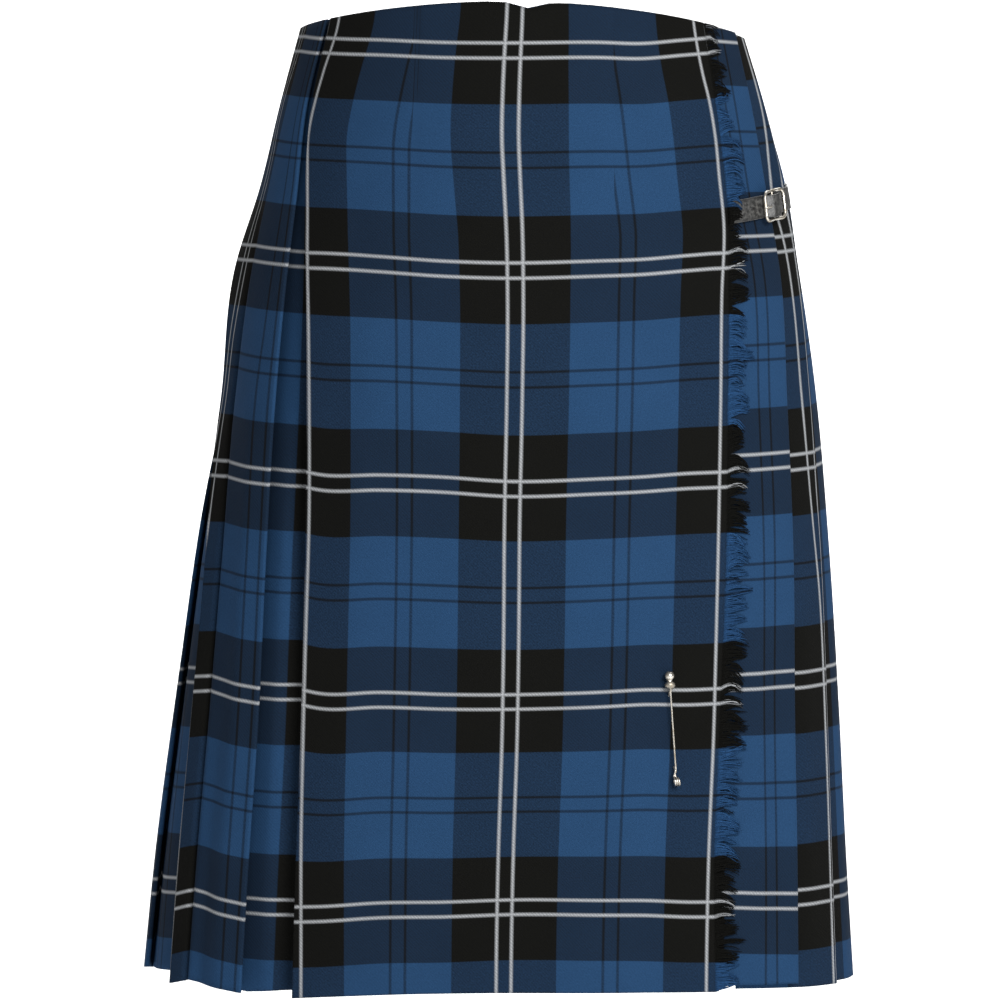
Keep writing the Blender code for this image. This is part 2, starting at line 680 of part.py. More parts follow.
def kilt_pin(material):
    """Head, bar and coil in one turned length, and the needle that takes up the cloth behind it."""
    head, coil = PIN_HEAD_RADIUS, PIN_COIL_RADIUS
    turned = (
        (-0.0062, 0.35 * head), (-0.0048, 0.85 * head), (-0.0030, head), (-0.0012, 0.75 * head),
        (0.0004, 0.80 * head), (0.0022, 0.95 * head), (0.0042, 0.70 * head), (0.0054, PIN_RADIUS),
        (PIN_LENGTH - 0.0052, PIN_RADIUS), (PIN_LENGTH - 0.0040, 0.70 * coil),
        (PIN_LENGTH - 0.0015, coil), (PIN_LENGTH + 0.0012, 0.92 * coil), (PIN_LENGTH + 0.0030, 0.45 * coil),
    )
    path = [on_front(down, PIN_OUT) for down, radius in turned]
    points, faces = tube(path, [radius for down, radius in turned], 8)
    pin = solid("kilt_pin", points, faces, material)
    upper, lower = PIN_HOLE_AT, PIN_LENGTH - PIN_HOLE_AT
    bent = (
        (0.0015, PIN_OUT - 0.0006), (upper - 0.0014, 0.0014), (upper + 0.0010, -NEEDLE_IN),
        (upper + 0.0030, -NEEDLE_IN - 0.0001), (PIN_LENGTH / 2, -NEEDLE_IN),
        (lower - 0.0030, -NEEDLE_IN - 0.0001), (lower - 0.0010, -NEEDLE_IN),
        (lower + 0.0014, 0.0014), (PIN_LENGTH - 0.0010, PIN_OUT - 0.0006),
    )
    points, faces = tube([on_front(down, out) for down, out in bent], NEEDLE_RADIUS, 6)
    join(pin, solid("needle", points, faces, material))
    return pin


def pin_holes(apron, material):
    """Two small holes where the needle goes through the over apron."""
    for down in (PIN_HOLE_AT, PIN_LENGTH - PIN_HOLE_AT):
        path = [on_front(down, 0.0012), on_front(down, -WALL - 0.0010)]
        points, faces = tube(path, PIN_HOLE_RADIUS, 8)
        cut(apron, solid("pin_hole", points, faces, material))


def main():
    clear_scene()
    tartan, tartan_dark = finish("tartan_wool", TARTAN), finish("tartan_wool_under", TARTAN_DARK)
    yarn, leather = finish("wool_yarn", YARN), finish("black_leather", LEATHER)
    brown, silver = finish("brown_leather", BROWN_LEATHER), finish("silver", SILVER)
    apron = cloth_wall("over_apron", over_apron_path, tartan, corner_drop)
    pin_holes(apron, tartan)
    cloth_wall("under_apron", under_apron_path, tartan_dark, first_face_drop)
    cloth_wall("pleated_length", pleated_path, tartan, pleat_drop)
    fringe("apron_fringe", yarn)
    hip = Hip()
    strap_band = strap(hip, leather)
    cut(strap_band, slot_box(hip, -0.0074, -0.0026, leather))
    buckle_frame(hip, silver)
    chape(hip, brown)
    prong(hip, silver)
    kilt_pin(silver)


main()
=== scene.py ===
"""A knee-length kilt in its worn form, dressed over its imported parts.

Metres, +Z up, the wearer faces -Y, and the origin is the centre of the waist.
"""
import math

import bpy
import numpy as np
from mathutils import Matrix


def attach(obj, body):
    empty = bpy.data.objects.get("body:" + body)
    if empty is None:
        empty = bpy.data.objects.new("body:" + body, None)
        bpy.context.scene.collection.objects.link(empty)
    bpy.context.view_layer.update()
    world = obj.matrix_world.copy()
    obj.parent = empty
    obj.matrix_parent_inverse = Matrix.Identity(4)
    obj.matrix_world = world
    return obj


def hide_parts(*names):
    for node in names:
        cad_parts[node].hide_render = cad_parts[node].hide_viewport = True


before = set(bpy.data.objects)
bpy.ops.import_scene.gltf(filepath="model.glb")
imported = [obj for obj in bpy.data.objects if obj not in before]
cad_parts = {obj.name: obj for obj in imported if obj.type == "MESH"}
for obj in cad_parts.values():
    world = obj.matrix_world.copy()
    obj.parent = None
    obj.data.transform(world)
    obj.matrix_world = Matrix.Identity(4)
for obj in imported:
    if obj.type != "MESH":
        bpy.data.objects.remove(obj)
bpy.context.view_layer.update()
MM = 0.001

# ------------------------------
# Over apron. The flat front panel: worsted wool twill, woven in a blue, black and white check,
# cut from the same length as the pleats. Two darts take in its waist, its left edge is folded
# under and pressed, and its right edge is left raw and fringed.
# ------------------------------
THICK = 0.9 * MM
LAYER = 1.8 * MM  # from one folded layer to the next
RING = 1440  # steps round a level, from the back's middle to the back's middle
FRONT = slice(RING // 4 + 1, 3 * RING // 4)
# The top edge: how far the front rises, the back drops and it tilts sideways, and its small notch
RISE, RISE_TURN, RISE_POWER, BACK_DROP, TILT = 0.033, 0.05, 2.2, 0.003, 0.028
NOTCH, NOTCH_X, NOTCH_WIDTH = 0.004, 0.005, 0.010
SIDE_DIP = 0.005
FORM_Z = (0.000, -0.040, -0.090, -0.140, -0.220, -0.310, -0.410, -0.500, -0.573)
FORM = {
    "left": (0.1352, 0.1472, 0.1600, 0.1760, 0.1843, 0.1992, 0.2132, 0.2250, 0.2328),
    "right": (0.1380, 0.1510, 0.1645, 0.1725, 0.1828, 0.1905, 0.1968, 0.2014, 0.2060),
    "front": (0.098, 0.103, 0.111, 0.118, 0.126, 0.133, 0.140, 0.146, 0.150),
    "back": (0.100, 0.111, 0.124, 0.134, 0.145, 0.153, 0.160, 0.166, 0.170),
    "square": (2.00, 2.00, 2.05, 2.10, 2.20, 2.30, 2.40, 2.45, 2.50),
    "rise": (1.00, 0.35, 0.00, 0.00, 0.00, 0.00, 0.00, 0.00, 0.00),
    "dip": (0.0, 0.0, 0.0, 0.0, 0.0, 0.0, 0.2, 0.5, 1.0),
    "apron_left": (-0.1163, -0.1276, -0.1319, -0.1311, -0.1307, -0.1316, -0.1340, -0.1374, -0.1395),
    "apron_right": (0.1120, 0.1200, 0.1267, 0.1279, 0.1273, 0.1264, 0.1224, 0.1190, 0.1200),
    "first_fold": (0.1322, 0.1420, 0.1512, 0.1597, 0.1640, 0.1677, 0.1686, 0.1701, 0.1707),
    "valley": (-0.1298, -0.1430, -0.1560, -0.1692, -0.1812, -0.1870, -0.1936, -0.2004, -0.2051),
    "last_fold": (-0.1193, -0.1316, -0.1380, -0.1440, -0.1514, -0.1566, -0.1613, -0.1675, -0.1719),
    "open": (0.0036, 0.0036, 0.0036, 0.0038, 0.0045, 0.0056, 0.0070, 0.0084, 0.0095),
    "sink": (0.0000, 0.0005, 0.0015, 0.0045, 0.0055, 0.0045, 0.0030, 0.0020, 0.0015),
    "ridge": (0.024, 0.026, 0.028, 0.028, 0.024, 0.016, 0.017, 0.018, 0.018),
    "behind": (0.0036, 0.0036, 0.0036, 0.0038, 0.0040, 0.0044, 0.0048, 0.0052, 0.0054),
}


def eased(at, values, x):
    """Reads a table along a cubic curve that passes through its rows and keeps their mean slopes."""
    at, values = np.asarray(at, float), np.asarray(values, float)
    if at[0] > at[-1]:
        at, values = at[::-1], values[::-1]
    step = np.diff(at)
    rise = np.diff(values) / step
    middle = (rise[:-1] * step[1:] + rise[1:] * step[:-1]) / (step[1:] + step[:-1])
    slope = np.concatenate((rise[:1], middle, rise[-1:]))
    x = np.clip(x, at[0], at[-1])
    i = np.clip(np.searchsorted(at, x) - 1, 0, len(step) - 1)
    h = step[i]
    t = (x - at[i]) / h
    low = values[i] * (1 + 2 * t) * (1 - t) ** 2 + slope[i] * h * t * (1 - t) ** 2
    return low + values[i + 1] * t * t * (3 - 2 * t) + slope[i + 1] * h * t * t * (t - 1)


class Level:
    """One level of the body's form: a super-ellipse measured by the way round from the front centre."""

    def __init__(self, z):
        self.z = z
        self.read = {name: float(eased(FORM_Z, column, z)) for name, column in FORM.items()}
        turn = np.linspace(-math.pi, math.pi, RING + 1)
        power = 2 / self.read["square"]
        sine, cosine = np.sin(turn), np.cos(turn)
        wide = np.where(sine > 0, self.read["right"], self.read["left"])
        deep = np.where(cosine > 0, self.read["front"], self.read["back"])
        self.x = wide * np.sign(sine) * np.abs(sine) ** power
        self.y = -deep * np.sign(cosine) * np.abs(cosine) ** power
        along = np.concatenate(([0], np.cumsum(np.hypot(np.diff(self.x), np.diff(self.y)))))
        self.turn, self.along, self.length = turn, along - along[RING // 2], along[-1]
        across, back = np.gradient(self.x), np.gradient(self.y)
        size = np.hypot(across, back)
        self.out_x, self.out_y = back / size, -across / size

    def at_x(self, x):
        """The way round to a place on the front half."""
        return float(np.interp(x, self.x[FRONT], self.along[FRONT]))

    def edge(self, name):
        return self.at_x(self.read[name])

    def wrap(self, along, depth, lower=0.0):
        """Points at distances along the ring and depths inside it; lower is an extra drop of the hem."""
        around = (np.asarray(along) - self.along[0]) % self.length + self.along[0]
        x, y, turn = (np.interp(around, self.along, c) for c in (self.x, self.y, self.turn))
        out_x, out_y = (np.interp(around, self.along, c) for c in (self.out_x, self.out_y))
        lift = RISE * (0.5 + 0.5 * np.cos(turn - RISE_TURN)) ** RISE_POWER - BACK_DROP - TILT * x
        lift = lift - NOTCH * np.exp(-(((x - NOTCH_X) / NOTCH_WIDTH) ** 2)) * (np.cos(turn) > 0)
        drop = SIDE_DIP * np.sin(turn) ** 2 + lower
        z = self.z + self.read["rise"] * lift - self.read["dip"] * drop
        return np.stack((x - depth * out_x, y - depth * out_y, z), axis=-1)


def levels(count):
    """Levels from the top edge to the hem, closer together near both."""
    share = np.linspace(0, 1, count)
    share = share - 0.35 * np.sin(2 * np.pi * share) / (2 * np.pi)
    return [Level(z) for z in FORM_Z[-1] * share]


def sideways(path, distance):
    """The path moved to its side by a distance, its corners mitred."""
    step = np.diff(path, axis=0)
    step /= np.linalg.norm(step, axis=1)[:, None]
    side = np.stack((-step[:, 1], step[:, 0]), axis=1)
    first, last = np.vstack((side[:1], side)), np.vstack((side, side[-1:]))
    middle = first + last
    middle /= np.linalg.norm(middle, axis=1)[:, None]
    return path + middle * (distance / np.clip((middle * first).sum(axis=1), 0.5, 1.0))[:, None]


def creased(creases, along, z):
    """How far cloth stands out (+) or sinks (-): each crease is a soft bell across its own line, which
    runs from one place at its upper end to another at its lower end and fades out at both."""
    out = np.zeros(np.shape(along))
    for top, bottom, at_top, at_bottom, half, height in creases:
        share = np.clip((top - z) / (top - bottom), 0, 1)
        line = at_top + (at_bottom - at_top) * share
        fade = np.sin(np.pi * share) ** 0.7
        out = out + height * fade * np.exp(-(((along - line) / half) ** 2))
    return out


def cloth(name, rows, path_at, look):
    """A thin closed sheet. path_at gives a level's line as along, depth, lower, raised, u before and after
    each point, and v; the line is moved half the thickness to each side and wrapped on the level."""
    outer, inner, before, after, down = [], [], [], [], []
    for level in rows:
        along, depth, lower, raised, u_before, u_after, v_at = path_at(level)
        line = np.stack((along, depth - raised), axis=1)
        for side, kept in ((-THICK / 2, outer), (THICK / 2, inner)):
            moved = sideways(line, side)
            kept.append(level.wrap(moved[:, 0], moved[:, 1], lower))
        before.append(u_before)
        after.append(u_after)
        down.append(v_at(along, outer[-1][:, 2]))
    outer, inner = np.array(outer), np.array(inner)
    before, after, down = np.array(before), np.array(after), np.array(down)
    n, m = outer.shape[:2]
    where = np.arange(n * m).reshape(n, m)
    a, b, c, d = where[:-1, :-1], where[1:, :-1], where[1:, 1:], where[:-1, 1:]
    front = np.stack((a, b, c, d), axis=-1).reshape(-1, 4)
    back = front[:, ::-1] + n * m
    u = np.stack((after[:-1, :-1], after[1:, :-1], before[1:, 1:], before[:-1, 1:]), axis=-1).reshape(-1, 4)
    v = np.stack((down[:-1, :-1], down[1:, :-1], down[1:, 1:], down[:-1, 1:]), axis=-1).reshape(-1, 4)
    rims, rim_u, rim_v = [], [], []
    for border in (where[0], where[-1][::-1], where[::-1, 0], where[:, -1]):
        one, two = border[:-1], border[1:]
        rims.append(np.stack((one, two, two + n * m, one + n * m), axis=-1))
        flat_u, flat_v = before.ravel(), down.ravel()
        rim_u.append(np.stack((flat_u[one], flat_u[two], flat_u[two], flat_u[one]), axis=-1))
        rim_v.append(np.stack((flat_v[one], flat_v[two], flat_v[two], flat_v[one]), axis=-1))
    faces = np.vstack([front, back] + rims)
    u = np.vstack([u, u[:, ::-1]] + rim_u)
    v = np.vstack([v, v[:, ::-1]] + rim_v)
    points = np.vstack((outer.reshape(-1, 3), inner.reshape(-1, 3)))
    return woven(name, points, faces, np.stack((u, v), axis=-1), look)


def woven(name, points, faces, uv, look):
    """A smooth mesh of quads with a UV map, in metres of cloth: across the panel, and down it. Its faces are
    all turned round where its signed volume comes out below nothing."""
    a, b, c, d = (np.asarray(points)[faces[:, k]] for k in range(4))
    if (np.cross(b - a, c - a) * a + np.cross(c - a, d - a) * a).sum() < 0:
        faces, uv = faces[:, ::-1], uv[:, ::-1]
    mesh = bpy.data.meshes.new(name)
    mesh.vertices.add(len(points))
    mesh.vertices.foreach_set("co", np.asarray(points, np.float32).ravel())
    mesh.loops.add(faces.size)
    mesh.loops.foreach_set("vertex_index", faces.astype(np.int32).ravel())
    mesh.polygons.add(len(faces))
    mesh.polygons.foreach_set("loop_start", np.arange(0, faces.size, faces.shape[1], dtype=np.int32))
    mesh.polygons.foreach_set("use_smooth", np.ones(len(faces), bool))
    mesh.update(calc_edges=True)
    mesh.validate()
    mesh.uv_layers.new(name="cloth").data.foreach_set("uv", np.asarray(uv, np.float32).ravel())
    mesh.materials.append(look)
    made = bpy.data.objects.new(name, mesh)
    bpy.context.collection.objects.link(made)
    return made


class Sum:
    """A shader value that takes part in ordinary arithmetic."""

    def __init__(self, tree, socket):
        self.tree, self.socket = tree, socket

    def math(self, operation, *others):
        node = self.tree.nodes.new("ShaderNodeMath")
        node.operation = operation
        for slot, value in zip(node.inputs, (self, *others)):
            self.give(slot, value)
        return Sum(self.tree, node.outputs[0])

    def give(self, slot, value):
        if isinstance(value, Sum):
            self.tree.links.new(value.socket, slot)
        else:
            slot.default_value = value

    def __add__(self, other):
        return self.math("ADD", other)

    def __sub__(self, other):
        return self.math("SUBTRACT", other)

    def __rsub__(self, other):
        return self.math("MULTIPLY", -1.0).math("ADD", other)

    def __mul__(self, other):
        return self.math("MULTIPLY", other)

    def __truediv__(self, other):
        return self.math("DIVIDE", other)

    __radd__, __rmul__ = __add__, __mul__

    def inside(self, edge, soft):
        """1 where the value is under an edge, 0 over it, with a soft step between."""
        return ((edge - self) / soft + 0.5).math("MAXIMUM", 0.0).math("MINIMUM", 1.0)

    def blend(self, one, other):
        """A colour, from one (0) to the other (1)."""
        return node_of(self.tree, "ShaderNodeMix", {"data_type": "RGBA"}, {0: self, 6: one, 7: other}, 2)


def node_of(tree, kind, settings, inputs, output=0):
    """Adds any node, with its settings and inputs, and gives one of its outputs."""
    node = tree.nodes.new(kind)
    for name, value in settings.items():
        setattr(node, name, value)
    for name, value in inputs.items():
        Sum(tree, None).give(node.inputs[name], value)
    return Sum(tree, node.outputs[output])


def noise(tree, vector, scale, detail):
    return node_of(tree, "ShaderNodeTexNoise", {}, {"Vector": vector, "Scale": scale, "Detail": detail})


def cloth_uv(tree):
    """The UV map, and its first and second coordinate as values."""
    uv = node_of(tree, "ShaderNodeUVMap", {"uv_map": "cloth"}, {})
    split = tree.nodes.new("ShaderNodeSeparateXYZ")
    tree.links.new(uv.socket, split.inputs[0])
    return uv, Sum(tree, split.outputs[0]), Sum(tree, split.outputs[1])


def dye(tree, shader, colour, tone):
    """The colour, multiplied by a tone."""
    toned = node_of(tree, "ShaderNodeVectorMath", {"operation": "SCALE"}, {0: colour, 3: tone})
    tree.links.new(toned.socket, shader.inputs["Base Color"])


def relief(tree, shader, strength, distance, height):
    bump = node_of(tree, "ShaderNodeBump", {}, {"Strength": strength, "Distance": distance, "Height": height})
    tree.links.new(bump.socket, shader.inputs["Normal"])


def material(name, fixed):
    """An empty material with its own shader, whose fixed inputs are set on it."""
    made = bpy.data.materials.new(name)
    made.use_nodes = True
    shader = made.node_tree.nodes["Principled BSDF"]
    for slot, value in fixed.items():
        shader.inputs[slot].default_value = value
    return made, made.node_tree, shader


REPEAT = 132 * MM  # of the check, both ways
BAND = 33.5 * MM  # half the blue band
PAIR = 4.6 * MM  # from a band's middle to each line of its pair
BLACK = (0.0036, 0.0036, 0.0031, 1)
BLUE = (0.0120, 0.0375, 0.0880, 1)
LINE = (0.290, 0.300, 0.312, 1)


def check(tree, distance):
    """How blue a thread is, 0 to 1, and how white: a blue band with two thin black lines, then a black band
    with two white ones."""
    turned = distance / REPEAT + 0.5
    place = (turned.math("FRACT") - 0.5).math("ABSOLUTE") * REPEAT
    blue = place.inside(BAND, 0.6 * MM)
    thin = (place - PAIR).math("ABSOLUTE").inside(0.85 * MM, 0.8 * MM)
    white = (REPEAT / 2 - place - PAIR).math("ABSOLUTE").inside(0.85 * MM, 1.3 * MM)
    return blue * (1 - thin * 0.85), white


def tartan():
    """Warp and weft take their colour from the same check. A two-and-two twill shows each in turn along
    diagonal ribs, the weft a little more; where a blue thread meets a black one both look darker."""
    made, tree, shader = material("tartan_wool", {"Roughness": 0.92, "Specular IOR Level": 0.06})
    uv, across, down = cloth_uv(tree)
    slub, nap = noise(tree, uv, 900.0, 2.0), noise(tree, uv, 28.0, 3.0)
    rib = ((across - down) * (2 * math.pi / (2.1 * MM))).math("SINE")
    warp, white_warp = check(tree, across)
    weft, white_weft = check(tree, down)
    shown = rib * 0.05 + (slub - 0.5) * 0.5 + 0.57
    mixed = (warp - weft).math("ABSOLUTE")
    ground = (warp * (1 - shown) + weft * shown) * (1 - mixed * 0.30)
    white = (white_warp * (0.82 - rib * 0.14)).math("MAXIMUM", white_weft * (0.82 + rib * 0.14))
    colour = white.blend(ground.blend(BLACK, BLUE), LINE)
    tone = (nap - 0.5) * 0.22 + (slub - 0.5) * 0.45 + 1.0
    dye(tree, shader, colour, tone)
    relief(tree, shader, 0.30, 0.25 * MM, rib * 0.5 + (slub - 0.5))
    return made


TARTAN = tartan()

# Where the white lines run on the apron: heights, and the way round to the left line, the middle of the
# centre pair and the right line.
WARP = np.array((
    (0.0270, -0.1200, -0.0030, 0.1130),
    (0.0127, -0.1224, -0.0035, 0.1145),
    (-0.0147, -0.1327, -0.0050, 0.1194),
    (-0.0299, -0.1377, -0.0056, 0.1233),
    (-0.0542, -0.1430, -0.0060, 0.1272),
    (-0.0784, -0.1418, -0.0050, 0.1290),
    (-0.1087, -0.1391, -0.0036, 0.1316),
    (-0.1511, -0.1361, -0.0029, 0.1290),
    (-0.2118, -0.1343, -0.0035, 0.1270),
    (-0.2847, -0.1327, -0.0050, 0.1248),
    (-0.3638, -0.1340, -0.0056, 0.1222),
    (-0.4186, -0.1350, -0.0065, 0.1203),
    (-0.4856, -0.1359, -0.0087, 0.1171),
    (-0.5405, -0.1356, -0.0099, 0.1156),
    (-0.5800, -0.1355, -0.0103, 0.1150),
))
# Heights of the middles of the five white weft pairs, at nine places across.
WEFT_AT = (-0.150, -0.124, -0.087, -0.049, -0.005, 0.049, 0.074, 0.105, 0.121)
WEFT = np.array((
    (0.0005, 0.0004, 0.0008, 0.0002, 0.0002, 0.0002, -0.0010, 0.0002, 0.0006),
    (-0.1300, -0.1294, -0.1303, -0.1323, -0.1333, -0.1323, -0.1318, -0.1302, -0.1296),
    (-0.2600, -0.2640, -0.2628, -0.2634, -0.2660, -0.2646, -0.2638, -0.2624, -0.2624),
    (-0.3920, -0.3966, -0.3950, -0.3957, -0.3956, -0.3942, -0.3933, -0.3941, -0.3940),
    (-0.5278, -0.5262, -0.5231, -0.5221, -0.5204, -0.5209, -0.5215, -0.5233, -0.5238),
))
DARTS = (-0.0640, 0.0578)
DART_END = -0.112
DART_TAKES = 12 * MM
APRON_TURN = 28 * MM
APRON_CREASES = (
    # upper end, lower end, way round at each, half width, height
    (-0.12, -0.60, -0.095, -0.118, 0.016, 0.0016),
    (-0.20, -0.62, -0.060, -0.066, 0.022, -0.0013),
    (-0.02, -0.40, 0.020, 0.012, 0.030, -0.0010),
    (-0.28, -0.64, 0.046, 0.040, 0.024, 0.0014),
    (-0.25, -0.62, 0.086, 0.082, 0.014, -0.0012),
    (-0.06, -0.32, -0.100, -0.112, 0.012, -0.0010),
)


def over_warp(level, along):
    """Cloth distance across, from the blue band's middle, either side of the darts' seams."""
    height = level.z + level.read["rise"] * 0.02
    left, centre, right = (eased(WARP[:, 0], WARP[:, c], height) for c in (1, 2, 3))
    taken = DART_TAKES * np.clip(1 - height / DART_END, 0, 1)
    span = REPEAT - PAIR
    slope_left = (span - taken) / (centre - left)
    slope_right = (span - taken) / (right - centre)
    u = np.where(along < centre, (along - centre) * slope_left, (along - centre) * slope_right)
    u = u + REPEAT / 2
    return (u - taken * (along < DARTS[0] - 1e-9) + taken * (along > DARTS[1] + 1e-9),
            u - taken * (along < DARTS[0] + 1e-9) + taken * (along > DARTS[1] - 1e-9))


def down_the_cloth(at, z):
    """Cloth distance down, by how far a point lies between the white pairs over and under it."""
    v = np.minimum(at[0] - z, 0) + REPEAT / 2 + np.maximum(at[-1] - z, 0)
    for high, low in zip(at[:-1], at[1:]):
        v = v + REPEAT * np.clip((high - z) / (high - low), 0, 1)
    return v


def over_weft(along, z):
    return down_the_cloth([eased(WEFT_AT, row, along) for row in WEFT], z)


def bend(along, depth, way, steps=6):
    """A half turn of the cloth at a pressed fold, from the upper layer (depth) into the one beneath."""
    turn = np.linspace(-math.pi / 2, math.pi / 2, steps)
    r = LAYER / 2
    return along + way * (r * np.cos(turn) - r), depth + r + r * np.sin(turn)


def over_apron_path(level):
    left, right = level.edge("apron_left"), level.edge("apron_right")
    turn_s, turn_d = bend(left, 0.0, -1)
    under = np.linspace(left + APRON_TURN, left + 2 * MM, 7)
    stops = (left + 2 * MM, DARTS[0], DARTS[1], right)
    face = [np.linspace(a, b, n, endpoint=False) for a, b, n in zip(stops[:-1], stops[1:], (26, 44, 24))]
    along = np.concatenate([under, turn_s[::-1], *face, [right]])
    hidden = len(under) + len(turn_d)
    depth = np.concatenate([np.full(len(under), LAYER), turn_d[::-1], np.zeros(len(along) - hidden)])
    flat = np.clip(along, left + LAYER / 2, None)
    before, after = over_warp(level, flat)
    at = np.arange(len(along))
    half_round = len(under) + len(turn_d) // 2
    at_fold = over_warp(level, np.array([left + LAYER / 2]))[0][0]
    mirror = 2 * at_fold - before - math.pi * LAYER / 2
    round_it = at_fold - (left + LAYER / 2 - along)
    before = np.where(at < half_round, np.where(along > left + LAYER / 2, mirror, round_it), before)
    after = np.where(at < half_round, before, after)
    shown = (at > half_round) * np.clip((along - left) / 0.01, 0, 1)
    seam = sum(np.exp(-(((along - d) / 0.0012) ** 2)) for d in DARTS)
    dart = -0.5 * MM * seam * np.clip(1 - level.z / DART_END, 0, 1)
    raised = (creased(APRON_CREASES, along, level.z) + dart) * shown
    lower = 0.004 * np.clip(along / left, 0, 1) ** 2
    return along, depth, lower, raised, before, after, over_weft


over_apron = cloth("over_apron_cloth", levels(200), over_apron_path, TARTAN)
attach(over_apron, "root")
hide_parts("over_apron")

# ------------------------------
# Under apron. The same wool, hidden behind the over apron but for the strip beside its fringe,
# which ends at the first pressed fold of the pleats.
# ------------------------------
FACES = 17
RIDGE, VALLEY = FACES, FACES + 1
TUCK = 0.6
PLEAT_DEPTH = 0.8
PRESSED = (0.75, 0.5, 0.3, 0.1)
PRESSED_DEPTH = (0.8, 0.7, 0.55, 0.4)
UNDER_DEPTH = 2 * LAYER
FRINGE_REACH = 16.5 * MM
UNDER_FROM, UNDER_TO = -0.085, 0.104  # its hidden part, as X
UNDER_CHECK = 21.5 * MM  # the check at its fold


class Pleats:
    """The fold lines of one level: where each lies, how deep, and how far it stands open."""

    def __init__(self, level):
        first = level.edge("first_fold")
        valley, last = level.edge("valley") + level.length, level.edge("last_fold") + level.length
        ridge = valley - level.read["ridge"]
        share = np.arange(FACES + 1) / FACES
        off_centre = (first + ridge) / 2 - level.along[-1]
        self.edges = list(first + (ridge - first) * share - off_centre * np.sin(np.pi * share) ** 2)
        self.edges += [valley, last]
        self.end = level.edge("apron_left") + level.length
        opened = level.read["open"]
        uneven = (opened - 2 * LAYER) * 0.22
        plain = RIDGE - len(PRESSED)
        press = [1.0] * plain + list(PRESSED) + [1.0] * 3
        reach = [PLEAT_DEPTH] * plain + list(PRESSED_DEPTH) + [PLEAT_DEPTH] * 3
        sink = [0.0] + [uneven * (1 + math.sin(2.4 * k)) * press[k] for k in range(1, FACES)]
        self.sink = sink + [level.read["behind"], level.read["sink"], 0.0]
        slope = LAYER / (first - level.edge("apron_right") - FRINGE_REACH)
        self.inner, self.turned = [], []
        for k, edge in enumerate(self.edges):
            end = k + 1 == len(self.edges)
            wide = self.end - edge if end else self.edges[k + 1] - edge
            beyond = 2 * LAYER if end else self.sink[k + 1]
            if k in (RIDGE, VALLEY):
                self.inner.append(self.sink[k] if k == VALLEY else 0.0)
                self.turned.append(0.0)
                slope = (self.inner[k] - beyond) / wide
                continue
            back = reach[k] * (edge - self.edges[k - 1] if end else wide)
            share = back / wide
            needed = (2 * LAYER + back * slope - share * (self.sink[k] - beyond)) / (1 + share)
            under = max(2 * LAYER + (opened - 2 * LAYER) * press[k], needed)
            if end:
                slope_on = 0.0
                under = max(under, 2 * LAYER + back * slope)
            else:
                slope_on = (self.sink[k] - beyond + under) / wide
            self.inner.append(self.sink[k] + under + slope_on * back)
            self.turned.append(back)
            slope = slope_on

    def layer(self, k, along):
        """Depth of the cloth that runs on from inner fold k to the next edge."""
        if k + 1 == len(self.edges):
            return np.full(np.shape(along), self.inner[k])
        start = self.edges[k] - self.turned[k]
        share = (along - start) / (self.edges[k + 1] - start)
        return self.inner[k] + share * (self.sink[k + 1] - self.inner[k])


def measured(along, depth):
    """Cloth distance along a path."""
    return np.concatenate(([0], np.cumsum(np.hypot(np.diff(along), np.diff(depth)))))


UNDER_CREASES = (
    (-0.16, -0.62, 0.151, 0.153, 0.007, 0.0012),
    (-0.30, -0.66, 0.166, 0.170, 0.008, -0.0012),
)


# Heights of the middles of its white weft pairs, beside the over apron and at the first fold
UNDER_PAIRS = ((0.0084, -0.1201, -0.2530, -0.3863, -0.5180), (0.0050, -0.1210, -0.2530, -0.3863, -0.5226))


def under_apron_path(level):
    pleats = Pleats(level)
    edge, back, deep = pleats.edges[0], pleats.turned[0], pleats.inner[0]
    right = level.edge("apron_right")
    beside = right + FRINGE_REACH
    hidden = np.linspace(level.at_x(UNDER_FROM), level.at_x(UNDER_TO), 16)
    face = np.linspace(right, beside, 8)
    on = np.linspace(beside, edge - LAYER / 2, 12)[1:]
    turn_s, turn_d = bend(edge, 0.0, 1)
    under = np.linspace(edge - 2 * MM, edge - back, 8)
    along = np.concatenate([hidden, face, on, turn_s[1:], under])
    depth = np.concatenate([
        np.full(len(hidden), UNDER_DEPTH), np.full(len(face), LAYER),
        LAYER * (1 - (on - beside) / (edge - LAYER / 2 - beside)), turn_d[1:],
        LAYER + (deep - 2 * LAYER) * (edge - under) / back,
    ])
    u = measured(along, depth)
    at_edge = int(np.argmax(along))
    u = u - u[at_edge] + UNDER_CHECK
    shown = np.clip((along - right) / 0.004, 0, 1) * np.clip((edge - along) / 0.006, 0, 1)
    shown = shown * (np.arange(len(along)) < at_edge)
    lower = np.interp(along, [0.0, right], [0.0, -0.0035])

    def down(way, z):
        lean = np.clip((way - right) / (edge - right), 0, 1)
        return down_the_cloth([start + (end - start) * lean for start, end in zip(*UNDER_PAIRS)], z)

    return along, depth, lower, creased(UNDER_CREASES, along, level.z) * shown, u, u, down


under_apron = cloth("under_apron_cloth", levels(150), under_apron_path, TARTAN)
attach(under_apron, "root")
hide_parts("under_apron")

# ------------------------------
# Pleated length. The same wool, laid in knife pleats so that the check runs on from face to
# face, stitched down to the hip and pressed below it, where the pleats open a little.
# ------------------------------
# The check at each face's own fold edge, as cloth distance from the blue band's middle, goes on by an
# even step from face to face round the back.
FIRST_EDGE = 76 * MM
STEP = 46.5 * MM
